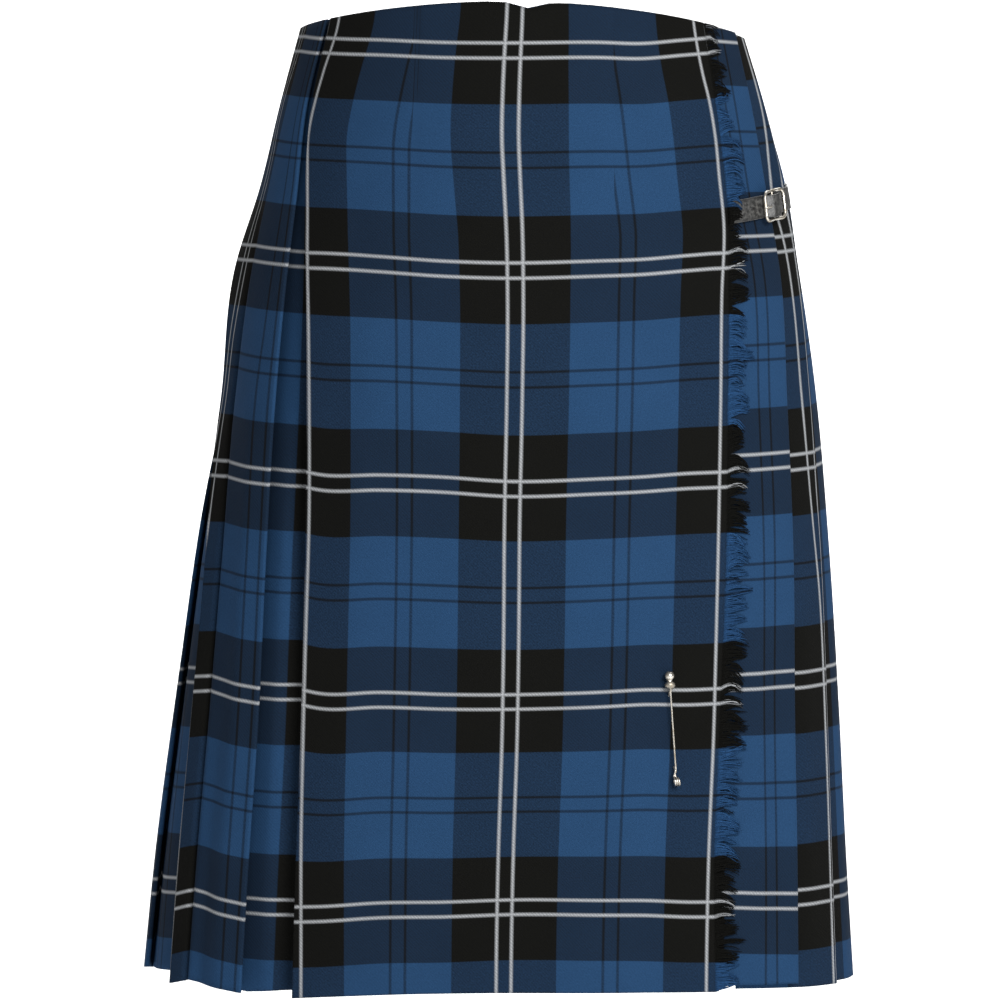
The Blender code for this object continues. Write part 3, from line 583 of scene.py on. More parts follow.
# Heights of the middles of the white weft pairs: on each plain face where it starts and ends, then at the
# ridge, the valley and the last fold of the left side's face, and on both sides of the last one
FACE_PAIR = (0.0100, 0.0096, 0.0090, 0.0094, 0.0088, 0.0082, 0.0090, 0.0084,
             0.0076, 0.0070, 0.0078, 0.0082, 0.0074, 0.0060, 0.0030)
PAIR_FACE = np.array([f + e for f in range(16) for e in (0.0, 0.99)] +
                     [16.0, 16.99, 17.0, 17.5, 18.0, 18.01, 19.01])
PAIR_Z = np.array([[top - 0.1329 * k for k in range(5)] for top in FACE_PAIR for e in (0, 1)] + [
    (0.0000, -0.1333, -0.2673, -0.3948, -0.5249),
    (0.0004, -0.1319, -0.2653, -0.3920, -0.5213),
    (0.0010, -0.1310, -0.2641, -0.3904, -0.5194),
    (0.0010, -0.1295, -0.2620, -0.3877, -0.5162),
    (-0.0016, -0.1295, -0.2620, -0.3927, -0.5258),
    (-0.0002, -0.1286, -0.2614, -0.3910, -0.5212),
    (-0.0003, -0.1286, -0.2625, -0.3954, -0.5274),
    (-0.0004, -0.1298, -0.2629, -0.3929, -0.5243),
    (-0.0002, -0.1298, -0.2634, -0.3928, -0.5243),
])
# On the first face, the way from the first fold to the white line nearest to it
FIRST_LINE_Z = (0.01, -0.047, -0.078, -0.095, -0.122, -0.157, -0.219, -0.292, -0.342, -0.428, -0.580)
FIRST_LINE = (0.017, 0.018, 0.012, 0.010, 0.015, 0.018, 0.022, 0.029, 0.036, 0.041, 0.045)
# Past that line, how much cloth is taken up for each metre round, at depths below the waist
PAST_DEPTH, PAST_LINE = (0, 0.10, 0.14, 0.22, 0.28), (0.45, 0.55, 0.68, 0.62, 1.0)
# On the left side's wide face: the way back from the valley to the white line at the ridge, and the
# check at the white line, the valley and the last fold
SIDE_LINE_Z = (
    0.02, -0.022, -0.034, -0.050, -0.073, -0.092, -0.113, -0.150, -0.188, -0.235, -0.323, -0.410, -0.580)
SIDE_LINE = (
    0.003, 0.0052, 0.0080, 0.0080, 0.0045, 0.0058, 0.0085, 0.0092, 0.0130, 0.0146, 0.0156, 0.0167, 0.0178)
SIDE_CHECK = (-61.4 * MM, -33.5 * MM, 7.9 * MM)
SIDE_SLOPE = 1.6  # the most cloth that it takes up for each metre between the line and the valley
# The valley is soft for this far. Behind it runs a groove: how far back, its half width, and how many mm
# deep at distances below the waist
SOFT = 6 * MM
GROOVE_BACK, GROOVE_WIDE = 2.6 * MM, 2.0 * MM
GROOVE_AT, GROOVE_DEPTH = (0.10, 0.20, 0.50, 0.60), (0.0, 3.6, 3.6, 2.4)
# How much lower the hem hangs at the last folds of the back, and at the folds of the left side
BACK_LOWER = (0.0, -0.0015, -0.0070, -0.0088)
SIDE_LOWER = (-0.0014, -0.0048, 0.0016, -0.0002)
# On the last face: the check where it comes out from under the last fold, and at the over apron's fold
LAST_Z = (0.0, -0.14, -0.22, -0.45, -0.58)
LAST_START = (0.0224, 0.0224, 0.0222, 0.0184, 0.0180)
LAST_END = (0.0420, 0.0425, 0.0430, 0.0464, 0.0475)
# Rolls and hollows on each face: face, upper and lower end, place across it (0 to 1) at each, half width
# as a share of the face, height
FACE_ROLLS = (
    (0, -0.30, -0.66, 0.35, 0.40, 0.22, 0.0014), (1, -0.26, -0.70, 0.70, 0.62, 0.25, 0.0018),
    (2, -0.34, -0.66, 0.40, 0.50, 0.20, -0.0012), (3, -0.30, -0.70, 0.66, 0.70, 0.22, 0.0016),
    (4, -0.24, -0.62, 0.50, 0.60, 0.24, 0.0014), (5, -0.36, -0.70, 0.62, 0.58, 0.20, 0.0018),
    (6, -0.28, -0.66, 0.44, 0.40, 0.22, -0.0012), (7, -0.32, -0.70, 0.70, 0.76, 0.20, 0.0016),
    (8, -0.26, -0.64, 0.55, 0.66, 0.24, 0.0014), (9, -0.35, -0.70, 0.60, 0.55, 0.22, 0.0018),
    (10, -0.28, -0.66, 0.48, 0.42, 0.20, -0.0014), (11, -0.30, -0.70, 0.68, 0.72, 0.22, 0.0016),
    (12, -0.24, -0.62, 0.52, 0.58, 0.26, 0.0012), (13, -0.34, -0.70, 0.64, 0.60, 0.20, 0.0018),
    (14, -0.27, -0.66, 0.42, 0.48, 0.22, -0.0012), (15, -0.31, -0.70, 0.70, 0.66, 0.20, 0.0018),
    (16, -0.24, -0.66, 0.45, 0.40, 0.24, 0.0014),
    (17, -0.18, -0.66, 0.66, 0.60, 0.20, 0.0022), (17, -0.40, -0.72, 0.26, 0.20, 0.16, -0.0016),
    (18, -0.22, -0.68, 0.34, 0.40, 0.20, 0.0022), (18, -0.14, -0.62, 0.82, 0.80, 0.24, -0.0036),
)
ON = np.array((0.0, 0.10, 0.22, 0.35, 0.48, 0.61, 0.74, 0.86, 0.95))


def pleat_start(pleats, k):
    """The second half of pleat k's hidden inner fold, and the cloth that goes on from it under the edge."""
    inner = pleats.edges[k] - pleats.turned[k]
    turn_s, turn_d = bend(inner, pleats.inner[k] - LAYER, -1, 4)
    way = np.array([inner + 2 * MM, inner + 0.5 * pleats.turned[k]])
    return np.append(turn_s[1:], way), np.append(turn_d[1:], pleats.layer(k, way))


def pleat_end(pleats, k):
    """Round the edge of pleat k and back under it, to the first half of its inner fold."""
    edge, back = pleats.edges[k], pleats.turned[k]
    turn_s, turn_d = bend(edge, pleats.sink[k], 1)
    top = pleats.sink[k] + LAYER
    way = np.array([edge - 0.3 * back, edge - 0.65 * back, edge - back + 1.5 * MM])
    under = top + (pleats.inner[k] - LAYER - top) * (edge - way) / back
    in_s, in_d = bend(edge - back, pleats.inner[k] - LAYER, -1, 4)
    return np.concatenate((turn_s, way, in_s[:2])), np.concatenate((turn_d, under, in_d[:2]))


def face_rolls(k, share, z):
    rolls = [roll[1:] for roll in FACE_ROLLS if roll[0] == k]
    return creased(rolls, share, z) * np.clip(share / 0.1, 0, 1) * np.clip((1 - share) / 0.1, 0, 1)


def knife_face(pleats, level, k):
    """A plain face: from its hidden inner fold out under the pleat before, round its own edge and back. The
    last of them goes on behind the ridge instead and turns outwards there."""
    edge, following = pleats.edges[k], pleats.edges[k + 1]
    start_s, start_d = pleat_start(pleats, k)
    face = edge + (following - LAYER / 2 - edge) * ON
    if k + 1 == RIDGE:
        tucked = following + TUCK * (pleats.edges[VALLEY] - following)
        halfway = (following + tucked) / 2
        over, under = pleats.layer(RIDGE, tucked), pleats.layer(RIDGE, halfway)
        deep = max(pleats.sink[RIDGE], over + 2 * LAYER)
        turn_s, turn_d = bend(tucked, deep - LAYER, 1)
        end_s = np.append([following, halfway], turn_s[:2:-1])
        end_d = np.append([pleats.sink[RIDGE], max(pleats.sink[RIDGE], under + 2 * LAYER)], turn_d[:2:-1])
        edge_at = len(start_s) + len(face)
    else:
        end_s, end_d = pleat_end(pleats, k + 1)
        edge_at = len(start_s) + len(face) + 3
    along = np.concatenate((start_s, face, end_s))
    depth = np.concatenate((start_d, pleats.layer(k, face), end_d))
    raised = np.zeros(len(along))
    raised[len(start_s):len(start_s) + len(face)] = face_rolls(k, ON, level.z)
    u = measured(along, depth)
    u = u - u[edge_at] + FIRST_EDGE + STEP * k
    if k == 0:
        line = float(eased(FIRST_LINE_Z, FIRST_LINE, level.z))
        past = float(np.interp(-level.z, PAST_DEPTH, PAST_LINE))
        slope = np.where(along < edge + line, min(1.0, (REPEAT / 2 - PAIR - BAND) / line), past)
        shown = np.arange(len(along)) < edge_at - 3
        u = np.where(shown, REPEAT / 2 - PAIR + (along - edge - line) * slope, u)
    return along, depth, raised, u


def side_face(pleats, level):
    """The left side's wide face: it comes back to the ridge behind itself, folds round it and runs on
    through a soft valley to the last fold."""
    ridge, valley, last = pleats.edges[RIDGE:]
    tucked = ridge + TUCK * (valley - ridge)
    deep = max(pleats.sink[RIDGE], pleats.layer(RIDGE, tucked) + 2 * LAYER)
    turn_s, turn_d = bend(tucked, deep - LAYER, 1)
    edge_s, edge_d = bend(ridge, 0.0, -1)
    halfway = (ridge + tucked) / 2
    first = np.linspace(ridge + 1.6 * MM, valley, 16)
    second = np.linspace(valley, last - LAYER / 2, 20)[1:-1]
    face = np.append(first, second)
    near = np.hypot(face - valley, SOFT) - SOFT
    wide = np.where(face < valley, np.hypot(valley - ridge, SOFT), np.hypot(last - valley, SOFT)) - SOFT
    hollow = pleats.sink[VALLEY] * np.clip(1 - near / wide, 0, 1)
    groove = np.interp(-level.z, GROOVE_AT, GROOVE_DEPTH) * MM
    hollow = hollow + groove * np.exp(-((valley - GROOVE_BACK - face) / GROOVE_WIDE) ** 2)
    end_s, end_d = pleat_end(pleats, VALLEY + 1)
    begin = 4 + 6
    along = np.concatenate((turn_s[3::-1], [halfway], edge_s[4::-1], face, end_s))
    depth = np.concatenate((turn_d[3::-1], [deep / 2], edge_d[4::-1], hollow, end_d))
    share = np.clip((face - valley) / (last - valley), 0, 1)
    raised = np.zeros(len(along))
    raised[begin:begin + len(face)] = face_rolls(RIDGE, share, level.z)
    line = valley - float(eased(SIDE_LINE_Z, SIDE_LINE, level.z))
    slope = min((SIDE_CHECK[1] - SIDE_CHECK[0]) / (valley - line), SIDE_SLOPE)
    before = SIDE_CHECK[0] - slope * (line - ridge)
    u = measured(along, depth)
    shown = np.interp(face, (ridge, line, valley, last), (before, *SIDE_CHECK))
    end = begin + len(face) - 1
    u = np.concatenate((u[:begin] - u[begin] + shown[0], shown, u[end + 1:] - u[end] + shown[-1]))
    return along, depth, raised, u


def last_face(pleats, level):
    """The face that comes out from under the last fold and goes in under the over apron."""
    last, k = pleats.edges[-1], len(pleats.edges) - 1
    start_s, start_d = pleat_start(pleats, k)
    face = last + (pleats.end + APRON_TURN - last) * np.linspace(0, 1, 16)
    along = np.append(start_s, face)
    depth = np.append(start_d, pleats.layer(k, face))
    share = (along - last) / (pleats.end - last)
    raised = face_rolls(VALLEY, share, level.z)
    begin, end = (float(eased(LAST_Z, row, level.z)) for row in (LAST_START, LAST_END))
    return along, depth, raised, begin + (end - begin) * share


def pleats_weft(pleats, whose, along, z):
    """Cloth distance down, from the heights of the white pairs on each face."""
    share = np.zeros(len(along))
    for face, (start, end) in enumerate(zip(pleats.edges, pleats.edges[1:] + [pleats.end])):
        if face < RIDGE:
            here = face + np.clip((along - start) / (end - start), 0, 1) * 0.99
            share = np.where(whose == face, here, share)
    ridge, valley, last = pleats.edges[RIDGE:]
    on_side = np.interp(along, (ridge, valley, last), (17.0, 17.5, 18.0))
    on_last = 18.01 + np.clip((along - last) / (pleats.end - last), 0, 1)
    share = np.where(whose == RIDGE, on_side, np.where(whose > RIDGE, on_last, share))
    return down_the_cloth([np.interp(share, PAIR_FACE, row) for row in PAIR_Z.T], z)


def pleated_path(level):
    pleats = Pleats(level)
    faces = [knife_face(pleats, level, k) for k in range(FACES)]
    faces += [side_face(pleats, level), last_face(pleats, level)]
    along, depth, raised, after = (
        np.concatenate([face[c][:-1] for face in faces[:-1]] + [faces[-1][c]]) for c in range(4))
    before = np.concatenate([faces[0][3][:1]] + [face[3][1:] for face in faces])
    whose = np.concatenate([np.full(len(face[0]) - 1, k) for k, face in enumerate(faces)] + [[FACES + 1]])
    on_back = np.interp(along, pleats.edges[RIDGE - 3:RIDGE + 1], BACK_LOWER)
    on_side = np.interp(along, pleats.edges[RIDGE:] + [pleats.end], SIDE_LOWER)
    lower = np.where(whose < FACES, on_back, on_side)
    return along, depth, lower, raised, before, after, lambda way, z: pleats_weft(pleats, whose, way, z)


pleated = cloth("pleated_length_cloth", levels(104), pleated_path, TARTAN)
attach(pleated, "root")
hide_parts("pleated_length")

# ------------------------------
# Apron fringe. The last warp threads left along the cut right edge of the over apron, and the
# loose ends of its weft, each in its own colour, matted into small tufts.
# ------------------------------
THREADS = 1050
POINTS, SIDES = 7, 4  # of each thread
STRAP_Z = -0.1005  # middle of the strap, which lifts and shortens the threads over it
# Where the white weft threads end in longer tufts: height, length, droop and rise in mm
WHITE_TUFTS = (
    (0.0032, 14.0, -2.0, 1.2), (-0.0046, 14.0, 0.4, 1.2), (-0.1261, 16.5, 1.0, 2.2),
    (-0.2580, 16.5, 0.2, 1.8), (-0.3880, 14.0, 2.2, 2.4), (-0.3970, 14.0, -0.6, 0.6),
    (-0.5190, 13.0, 2.0, 0.8), (-0.5284, 14.0, 0.4, 0.6),
)


class Patch:
    """Places small things over the cloth between two heights."""

    def __init__(self, high, low, count):
        self.z = np.linspace(low, high, count)
        self.rows = [Level(z) for z in self.z]

    def place(self, along, z, out):
        """Points at ways round, heights and distances outside the cloth's middle."""
        i = np.clip(np.searchsorted(self.z, z) - 1, 0, len(self.z) - 2)
        t = ((z - self.z[i]) / (self.z[i + 1] - self.z[i]))[:, None]
        every, pick = np.array([row.wrap(along, -out) for row in self.rows]), np.arange(len(z))
        return every[i, pick] * (1 - t) + every[i + 1, pick] * t


def joined(name, parts, look):
    """One piece from several sets of rods, each its points, quads and UV."""
    starts = np.cumsum([0] + [len(part[0]) for part in parts])
    faces = np.vstack([part[1] + start for part, start in zip(parts, starts)])
    uv = np.vstack([part[2] for part in parts])
    return woven(name, np.vstack([part[0] for part in parts]), faces, uv[faces], look)


def round_quads(a, b):
    """The quads between rings of points and the next rings, whose last axis goes round."""
    return np.stack((a, np.roll(a, -1, axis=-1), np.roll(b, -1, axis=-1), b), axis=-1).reshape(-1, 4)


def strands(paths, thick, sides=SIDES, lean=(0.31, 0.24, 0.92), closed=False):
    """Points, quads and UV of round rods: paths is rod by point by xyz, thick their radius, lean any way
    that none of them runs. UV is the way along and the way round, in metres."""
    n, m = paths.shape[:2]
    if closed:
        way = np.roll(paths, -1, axis=1) - np.roll(paths, 1, axis=1)
    else:
        way = np.gradient(paths, axis=1)
    way /= np.linalg.norm(way, axis=2)[:, :, None]
    side = np.cross(way, lean)
    side /= np.linalg.norm(side, axis=2)[:, :, None]
    other = np.cross(way, side)
    turn = 2 * np.pi * np.arange(sides) / sides
    ring = side[:, :, None] * np.cos(turn)[:, None] + other[:, :, None] * np.sin(turn)[:, None]
    thick = np.broadcast_to(thick, (n, m))[:, :, None]
    points = paths[:, :, None] + ring * thick[..., None]
    where = np.arange(n * m * sides).reshape(n, m, sides)
    a, b = (where, np.roll(where, -1, axis=1)) if closed else (where[:, :-1], where[:, 1:])
    faces = [round_quads(a, b)]
    for end in () if closed else (where[:, 0, ::-1], where[:, -1]):
        for k in range(sides // 2 - 1):
            faces.append(end[:, [k, k + 1, sides - 2 - k, sides - 1 - k]])
    gone = np.linalg.norm(np.diff(paths, axis=1), axis=2).cumsum(axis=1)
    u = np.broadcast_to(np.pad(gone, ((0, 0), (1, 0)))[:, :, None], (n, m, sides))
    uv = np.stack((u, np.broadcast_to(turn, (n, m, sides)) * thick), axis=-1)
    return points.reshape(-1, 3), np.vstack(faces), uv.reshape(-1, 2)


def yarn():
    made, tree, shader = material("wool_yarn", {"Roughness": 0.95, "Specular IOR Level": 0.05})
    uv, _, down = cloth_uv(tree)
    fuzz = noise(tree, uv, 1400.0, 2.0)
    blue, white = check(tree, down)
    colour = (white * 0.9).blend(blue.blend(BLACK, (0.0135, 0.0440, 0.1080, 1)), LINE)
    each = node_of(tree, "ShaderNodeTexNoise", {"noise_dimensions": "1D"},
                   {"W": down, "Scale": 1700.0, "Detail": 1.0})
    dye(tree, shader, colour, (fuzz * 1.1 + 0.25) * (each * 1.5 + 0.35))
    relief(tree, shader, 0.4, 0.15 * MM, fuzz)
    return made


def fringe():
    """Each thread leaves the edge level, rises a little, sinks to its tuft's tip and bends as it goes."""
    rng = np.random.default_rng(11)
    right = eased(FORM_Z, [Level(z).edge("apron_right") for z in FORM_Z],
                  np.linspace(0, FORM_Z[-1], THREADS))
    root = np.linspace(-0.8 * MM, FORM_Z[-1] + 0.8 * MM, THREADS)
    tuft = np.cumsum(rng.random(THREADS) < 0.12)
    sizes = np.bincount(tuft)
    middle = np.bincount(tuft, root) / sizes
    droop, reach, rise = (rng.normal(m, d, len(sizes)) for m, d in ((1.2, 2.0), (14.0, 2.2), (0.9, 0.5)))
    droop += 1.6 * np.sin(middle * 61.0)
    reach += np.interp(-middle, (0.0, 0.30, 0.58), (0.0, 1.4, 2.4))
    for place, long, level, hump in WHITE_TUFTS:
        near = np.exp(-((middle - place) / (3.0 * MM)) ** 2)
        reach, droop, rise = (a + near * (b - a) for a, b in ((reach, long), (droop, level), (rise, hump)))
    t = np.linspace(0, 1, POINTS)
    wave = rng.normal(0, 0.8, (THREADS, 1)) * np.sin(t * rng.uniform(3, 8, (THREADS, 1)))
    on_strap = np.clip((8.5 * MM - np.abs(root - STRAP_Z)) / MM, 0, 1)[:, None]
    length = (reach[tuft] + rng.normal(0, 0.9, THREADS))[:, None] * (1 - 0.45 * on_strap) * MM
    tip = (middle[tuft] - root)[:, None] * 0.5 - (droop[tuft] + rng.normal(0, 0.8, THREADS))[:, None] * MM
    z = root[:, None] + tip * t ** 1.8 + rise[tuft][:, None] * MM * np.sin(np.pi * t) * 1.2 + wave * MM * t
    out = (0.15 + rng.random((THREADS, 1)) * 0.9 * t + 0.6 * np.sin(np.pi * t) - 0.3 * t) * MM
    out = out + 2.0 * MM * on_strap * np.clip(4 * t, 0, 1)
    along = right[:, None] + length * (t - 0.06)
    low, high = FORM_Z[-1] + 0.3 * MM, -0.3 * MM
    patch = Patch(0.0, FORM_Z[-1], 70)
    z = np.clip(z, low + 4.5 * MM * t, high)
    paths = patch.place(along.ravel(), z.ravel(), out.ravel()).reshape(THREADS, POINTS, 3)
    thick = 0.40 * MM * np.array([1, 1, 1, 0.95, 0.85, 0.7, 0.3])
    points, faces, uv = strands(paths, thick)
    uv[:, 0] += np.repeat(root * 7, POINTS * SIDES)
    uv[:, 1] = np.repeat(over_weft(right, paths[:, 0, 2]), POINTS * SIDES)
    down = np.linspace(high, low, 420)
    edge = np.interp(-down, -root, right)
    posts = []
    for place, phase in ((0.35, 0.0), (0.85, math.pi), (1.35, 0.0)):
        weave = 0.12 * MM * np.sin(down * math.pi / MM + phase)
        posts.append(patch.place(edge + place * MM, down, 0.2 * MM + weave))
    warp = strands(np.array(posts), 0.30 * MM)
    warp[2][:, 1] = np.tile(np.repeat(over_weft(edge, posts[0][:, 2]), SIDES), len(posts))
    return joined("apron_fringe_yarn", [(points, faces, uv), warp], yarn())


loose_threads = fringe()
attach(loose_threads, "root")
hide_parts("apron_fringe")

# ------------------------------
# Strap. Black bridle leather, sewn under the over apron's edge and drawn through the buckle. It
# has a row of punched holes, painted on as near-black discs of shade, burnished edges and a rounded end.
# ------------------------------
WALL = 1.1 * MM
GAP = 0.3 * MM
STRAP_WIDTH = 13.6 * MM
STRAP_THICK = 1.3 * MM
STRAP_TAIL = 52 * MM
HALF_LONG, HALF_TALL = 10.3 * MM, 8.5 * MM
BAR = 0.9 * MM
FRAME_OUT, CENTRE_OUT = 5.0 * MM, 2.9 * MM
CHAPE_THICK, CHAPE_WIDTH, CHAPE_LENGTH = 0.8 * MM, 12.0 * MM, 15.5 * MM
HOLE_STEP = 11.5 * MM
BUCKLE_X = 0.1525


class Hip:
    """Places the strap and buckle over the cloth: along, up and out from the buckle's centre."""

    def __init__(self):
        self.z, self.climb = STRAP_Z, 0.075
        level = Level(self.z)
        self.start = level.edge("apron_right") + GAP
        self.centre = level.at_x(BUCKLE_X)
        self.patch = Patch(-0.075, -0.118, 24)

    def place(self, points):
        along, up, out = np.asarray(points, float).T
        z = self.z + up + self.climb * (along + self.centre - self.start)
        return self.patch.place(self.centre + along - self.climb * up, z, out + WALL / 2)


HIP = Hip()


def smooth_path(rows, count):
    """A path through (along, out) rows, its corners rounded by a short running mean."""
    rows = np.asarray(rows, float)
    way = np.concatenate(([0], np.cumsum(np.hypot(*np.diff(rows, axis=0).T))))
    at = np.linspace(0, way[-1], count)
    path = np.stack([np.interp(at, way, column) for column in rows.T], axis=1)
    for _ in range(3):
        path[1:-1] = (path[:-2] + 2 * path[1:-1] + path[2:]) / 4
    return path, at


def band(name, rows, count, wide, thick, look, round_end=0.0):
    """A flat strip with round edges: a pill-shaped section carried along a path of (along, out) rows. Over
    its last part it narrows to a rounded end. UV is the way along and across, in metres."""
    path, at = smooth_path(rows, count)
    corner = thick / 2
    turn = np.radians((11, 34, 56, 79))
    flat = np.linspace(1, -1, 9)
    part = np.concatenate((np.ones(4), flat, -np.ones(4)))
    past = corner * np.concatenate((np.cos(turn), np.zeros(9), -np.cos(turn[::-1])))
    off = corner * np.concatenate((np.sin(turn), np.ones(9), np.sin(turn[::-1])))
    part, past = np.append(part, part[::-1]), np.append(past, past[::-1])
    off = np.append(off, -off[::-1])
    side = sideways(path, 1.0) - path
    narrow = np.ones(count)
    if round_end:
        narrow = np.sqrt(np.clip(1 - np.clip(1 - (at[-1] - at) / round_end, 0, 1) ** 2.4, 0.03, 1))
    up = part * (wide / 2 * narrow[:, None] - corner) + past
    along, out = path[:, :1] + side[:, :1] * off, path[:, 1:] + side[:, 1:] * off
    points = HIP.place(np.stack((along, up, out), axis=-1).reshape(-1, 3))
    uv = np.stack((np.broadcast_to(at[:, None], up.shape), up), axis=-1).reshape(-1, 2)
    m = len(part)
    where = np.arange(count * m).reshape(count, m)
    faces = [round_quads(where[:-1], where[1:])]
    for end in (where[0, ::-1], where[-1]):
        faces.append([[end[k], end[k + 1], end[m - 2 - k], end[m - 1 - k]] for k in range(m // 2 - 1)])
    faces = np.vstack(faces)
    return woven(name, points, faces, uv[faces], look)


def leather(name, deep, worn, rough):
    """Dyed hide: fine grain, worn paler on its high spots and darker along its burnished edges."""
    made, tree, shader = material(
        name, {"Specular IOR Level": 0.45, "Coat Weight": 0.12, "Coat Roughness": 0.3})
    uv, _, across = cloth_uv(tree)
    grain = node_of(tree, "ShaderNodeTexVoronoi", {"feature": "F1"}, {"Vector": uv, "Scale": 1100.0})
    cloud = noise(tree, uv, 420.0, 4.0)
    edge = (across.math("ABSOLUTE") - 5.2 * MM).inside(0.0, 1.6 * MM)
    wear = ((cloud - 0.42) * 3.2).math("MAXIMUM", 0.0).math("MINIMUM", 1.0) * (edge * 0.7 + 0.3)
    colour = wear.blend(deep, worn)
    tree.links.new(colour.socket, shader.inputs["Base Color"])
    tree.links.new((grain * -0.14 + rough + cloud * 0.2).socket, shader.inputs["Roughness"])
    relief(tree, shader, 0.5, 0.2 * MM, grain + cloud * 0.6)
    return made, tree, shader


def paint_hole_shade(look, first):
    """Painted shade for the punched holes: near-black round discs down the middle of a strap, one at each
    step along it; the holes themselves are not cut.
    """
    made, tree, shader = look
    _, along, across = cloth_uv(tree)
    steps = ((along - first) / HOLE_STEP + 0.5).math("FRACT") - 0.5
    far = ((steps * HOLE_STEP).math("POWER", 2.0) + across.math("POWER", 2.0)).math("SQRT")
    # Painted shade: each hole's dark inside is a near-black disc laid over the leather's colour.
    hole_shade = far.inside(1.05 * MM, 0.4 * MM)
    before = Sum(tree, shader.inputs["Base Color"].links[0].from_socket)
    tree.links.new(hole_shade.blend(before, (0.004, 0.003, 0.003, 1)).socket, shader.inputs["Base Color"])
    return made


LOW = GAP + STRAP_THICK / 2
CREST = CENTRE_OUT + BAR + CHAPE_THICK + 3 * GAP + STRAP_THICK / 2
BEGIN = HIP.start - HIP.centre
strap_path = [(BEGIN + 2.5 * MM, LOW), (BEGIN * 0.7, LOW), (BEGIN * 0.45, LOW), (-HALF_LONG - 2 * MM, LOW),
              (-HALF_LONG + 1.5 * MM, LOW + 0.3 * MM), (-2.8 * MM, CREST), (2.8 * MM, CREST),
              (7.5 * MM, 0.2 * MM), (10.5 * MM, -0.7 * MM), (CHAPE_LENGTH, -0.3 * MM),
              (18.5 * MM, -0.6 * MM), (25 * MM, 0.0), (30 * MM, 0.8 * MM), (33 * MM, 0.7 * MM),
              (39 * MM, -1.3 * MM), (STRAP_TAIL, -0.5 * MM)]
# The strap's holes are painted shade, near-black discs in its colour, not cut.
BLACK_LEATHER = paint_hole_shade(leather("black_leather", (0.012, 0.012, 0.012, 1), (0.085, 0.084, 0.080, 1), 0.42),
                        -BEGIN - 20 * MM)
strap = band("strap_leather", strap_path, 240, STRAP_WIDTH, STRAP_THICK, BLACK_LEATHER, 9 * MM)
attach(strap, "root")
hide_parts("strap")

# ------------------------------
# Buckle chape. A tab of brown leather sewn to the hip and turned round the buckle's middle bar.
# ------------------------------
TURN = BAR + GAP + CHAPE_THICK / 2


def round_bar(radius, start, end):
    """Part of a turn round the buckle's middle bar, as (along, out) rows 20 degrees apart."""
    turns = np.radians(range(start, end, -20))
    return [(radius * math.cos(a), CENTRE_OUT + radius * math.sin(a)) for a in turns]


chape_path = [(CHAPE_LENGTH, -1.35 * MM), (10.5 * MM, -1.95 * MM), (6 * MM, -1.9 * MM), (3.5 * MM, 0.3 * MM)]
chape_path += round_bar(TURN, -70, -291)
BROWN_LEATHER = leather("brown_leather", (0.030, 0.016, 0.009, 1), (0.095, 0.055, 0.032, 1), 0.5)[0]
chape = band("chape_leather", chape_path, 90, CHAPE_WIDTH, CHAPE_THICK, BROWN_LEATHER)
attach(chape, "root")
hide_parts("buckle_chape")

# ------------------------------
# Buckle frame. Cast metal plated silver, a rounded rectangle whose sides stand higher than its
# middle bar; the plating is dulled in its hollows and scratched.
# ------------------------------


def plated():
    """Silver plate, a little tarnished in soft patches, with hairline scratches along the metal."""
    made, tree, shader = material("silver", {"Metallic": 1.0})
    uv = node_of(tree, "ShaderNodeUVMap", {"uv_map": "cloth"}, {})
    place = node_of(tree, "ShaderNodeTexCoord", {}, {}, 3)
    patch = noise(tree, place, 330.0, 3.0)
    long = node_of(tree, "ShaderNodeMapping", {}, {"Vector": uv, "Scale": (0.08, 1.0, 1.0)})
    scratch = noise(tree, long, 5200.0, 1.0)
    dull = ((patch - 0.40) * 4.0).math("MAXIMUM", 0.0).math("MINIMUM", 1.0)
    colour = dull.blend((0.66, 0.63, 0.57, 1), (0.30, 0.265, 0.21, 1))
    tree.links.new(colour.socket, shader.inputs["Base Color"])
    tree.links.new((dull * 0.26 + scratch * 0.16 + 0.16).socket, shader.inputs["Roughness"])
    relief(tree, shader, 0.25, 0.05 * MM, scratch)
    return made


SILVER = plated()


def frame_outline(corner, steps, between):
    """A rounded rectangle as (along, up) rows, its straight sides cut into short lengths."""
    corners = []
    for quarter, (sx, sy) in enumerate(((1, 1), (-1, 1), (-1, -1), (1, -1))):
        turn = math.pi / 2 * (quarter + np.linspace(0, 1, steps))
        corners.append(np.stack((sx * (HALF_LONG - corner) + corner * np.cos(turn),
                                 sy * (HALF_TALL - corner) + corner * np.sin(turn)), axis=1))
    cut = np.linspace(0, 1, between + 2)[1:-1, None]
    rows = []
    for here, ahead in zip(corners, corners[1:] + corners[:1]):
        rows += [here, here[-1] + (ahead[0] - here[-1]) * cut]
    return np.vstack(rows)


outline = frame_outline(3.2 * MM, 6, 8)
lift = CENTRE_OUT + (FRAME_OUT - CENTRE_OUT) * np.abs(outline[:, :1]) / HALF_LONG
ring_path = HIP.place(np.hstack((outline, lift)))
full = BAR * (1 + 0.22 * np.abs(outline[:, 0]) / HALF_LONG)
ring = strands(ring_path[None], full, 12, (0.8, -0.6, 0.0), closed=True)
bar_up = np.linspace(-HALF_TALL, HALF_TALL, 20)
bar_path = HIP.place(np.stack((bar_up * 0, bar_up, bar_up * 0 + CENTRE_OUT), axis=1))
bar = strands(bar_path[None], BAR * 0.93, 12, (0.8, -0.6, 0.0))
frame_metal = joined("buckle_frame_metal", [ring, bar], SILVER)
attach(frame_metal, "root")
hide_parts("buckle_frame")

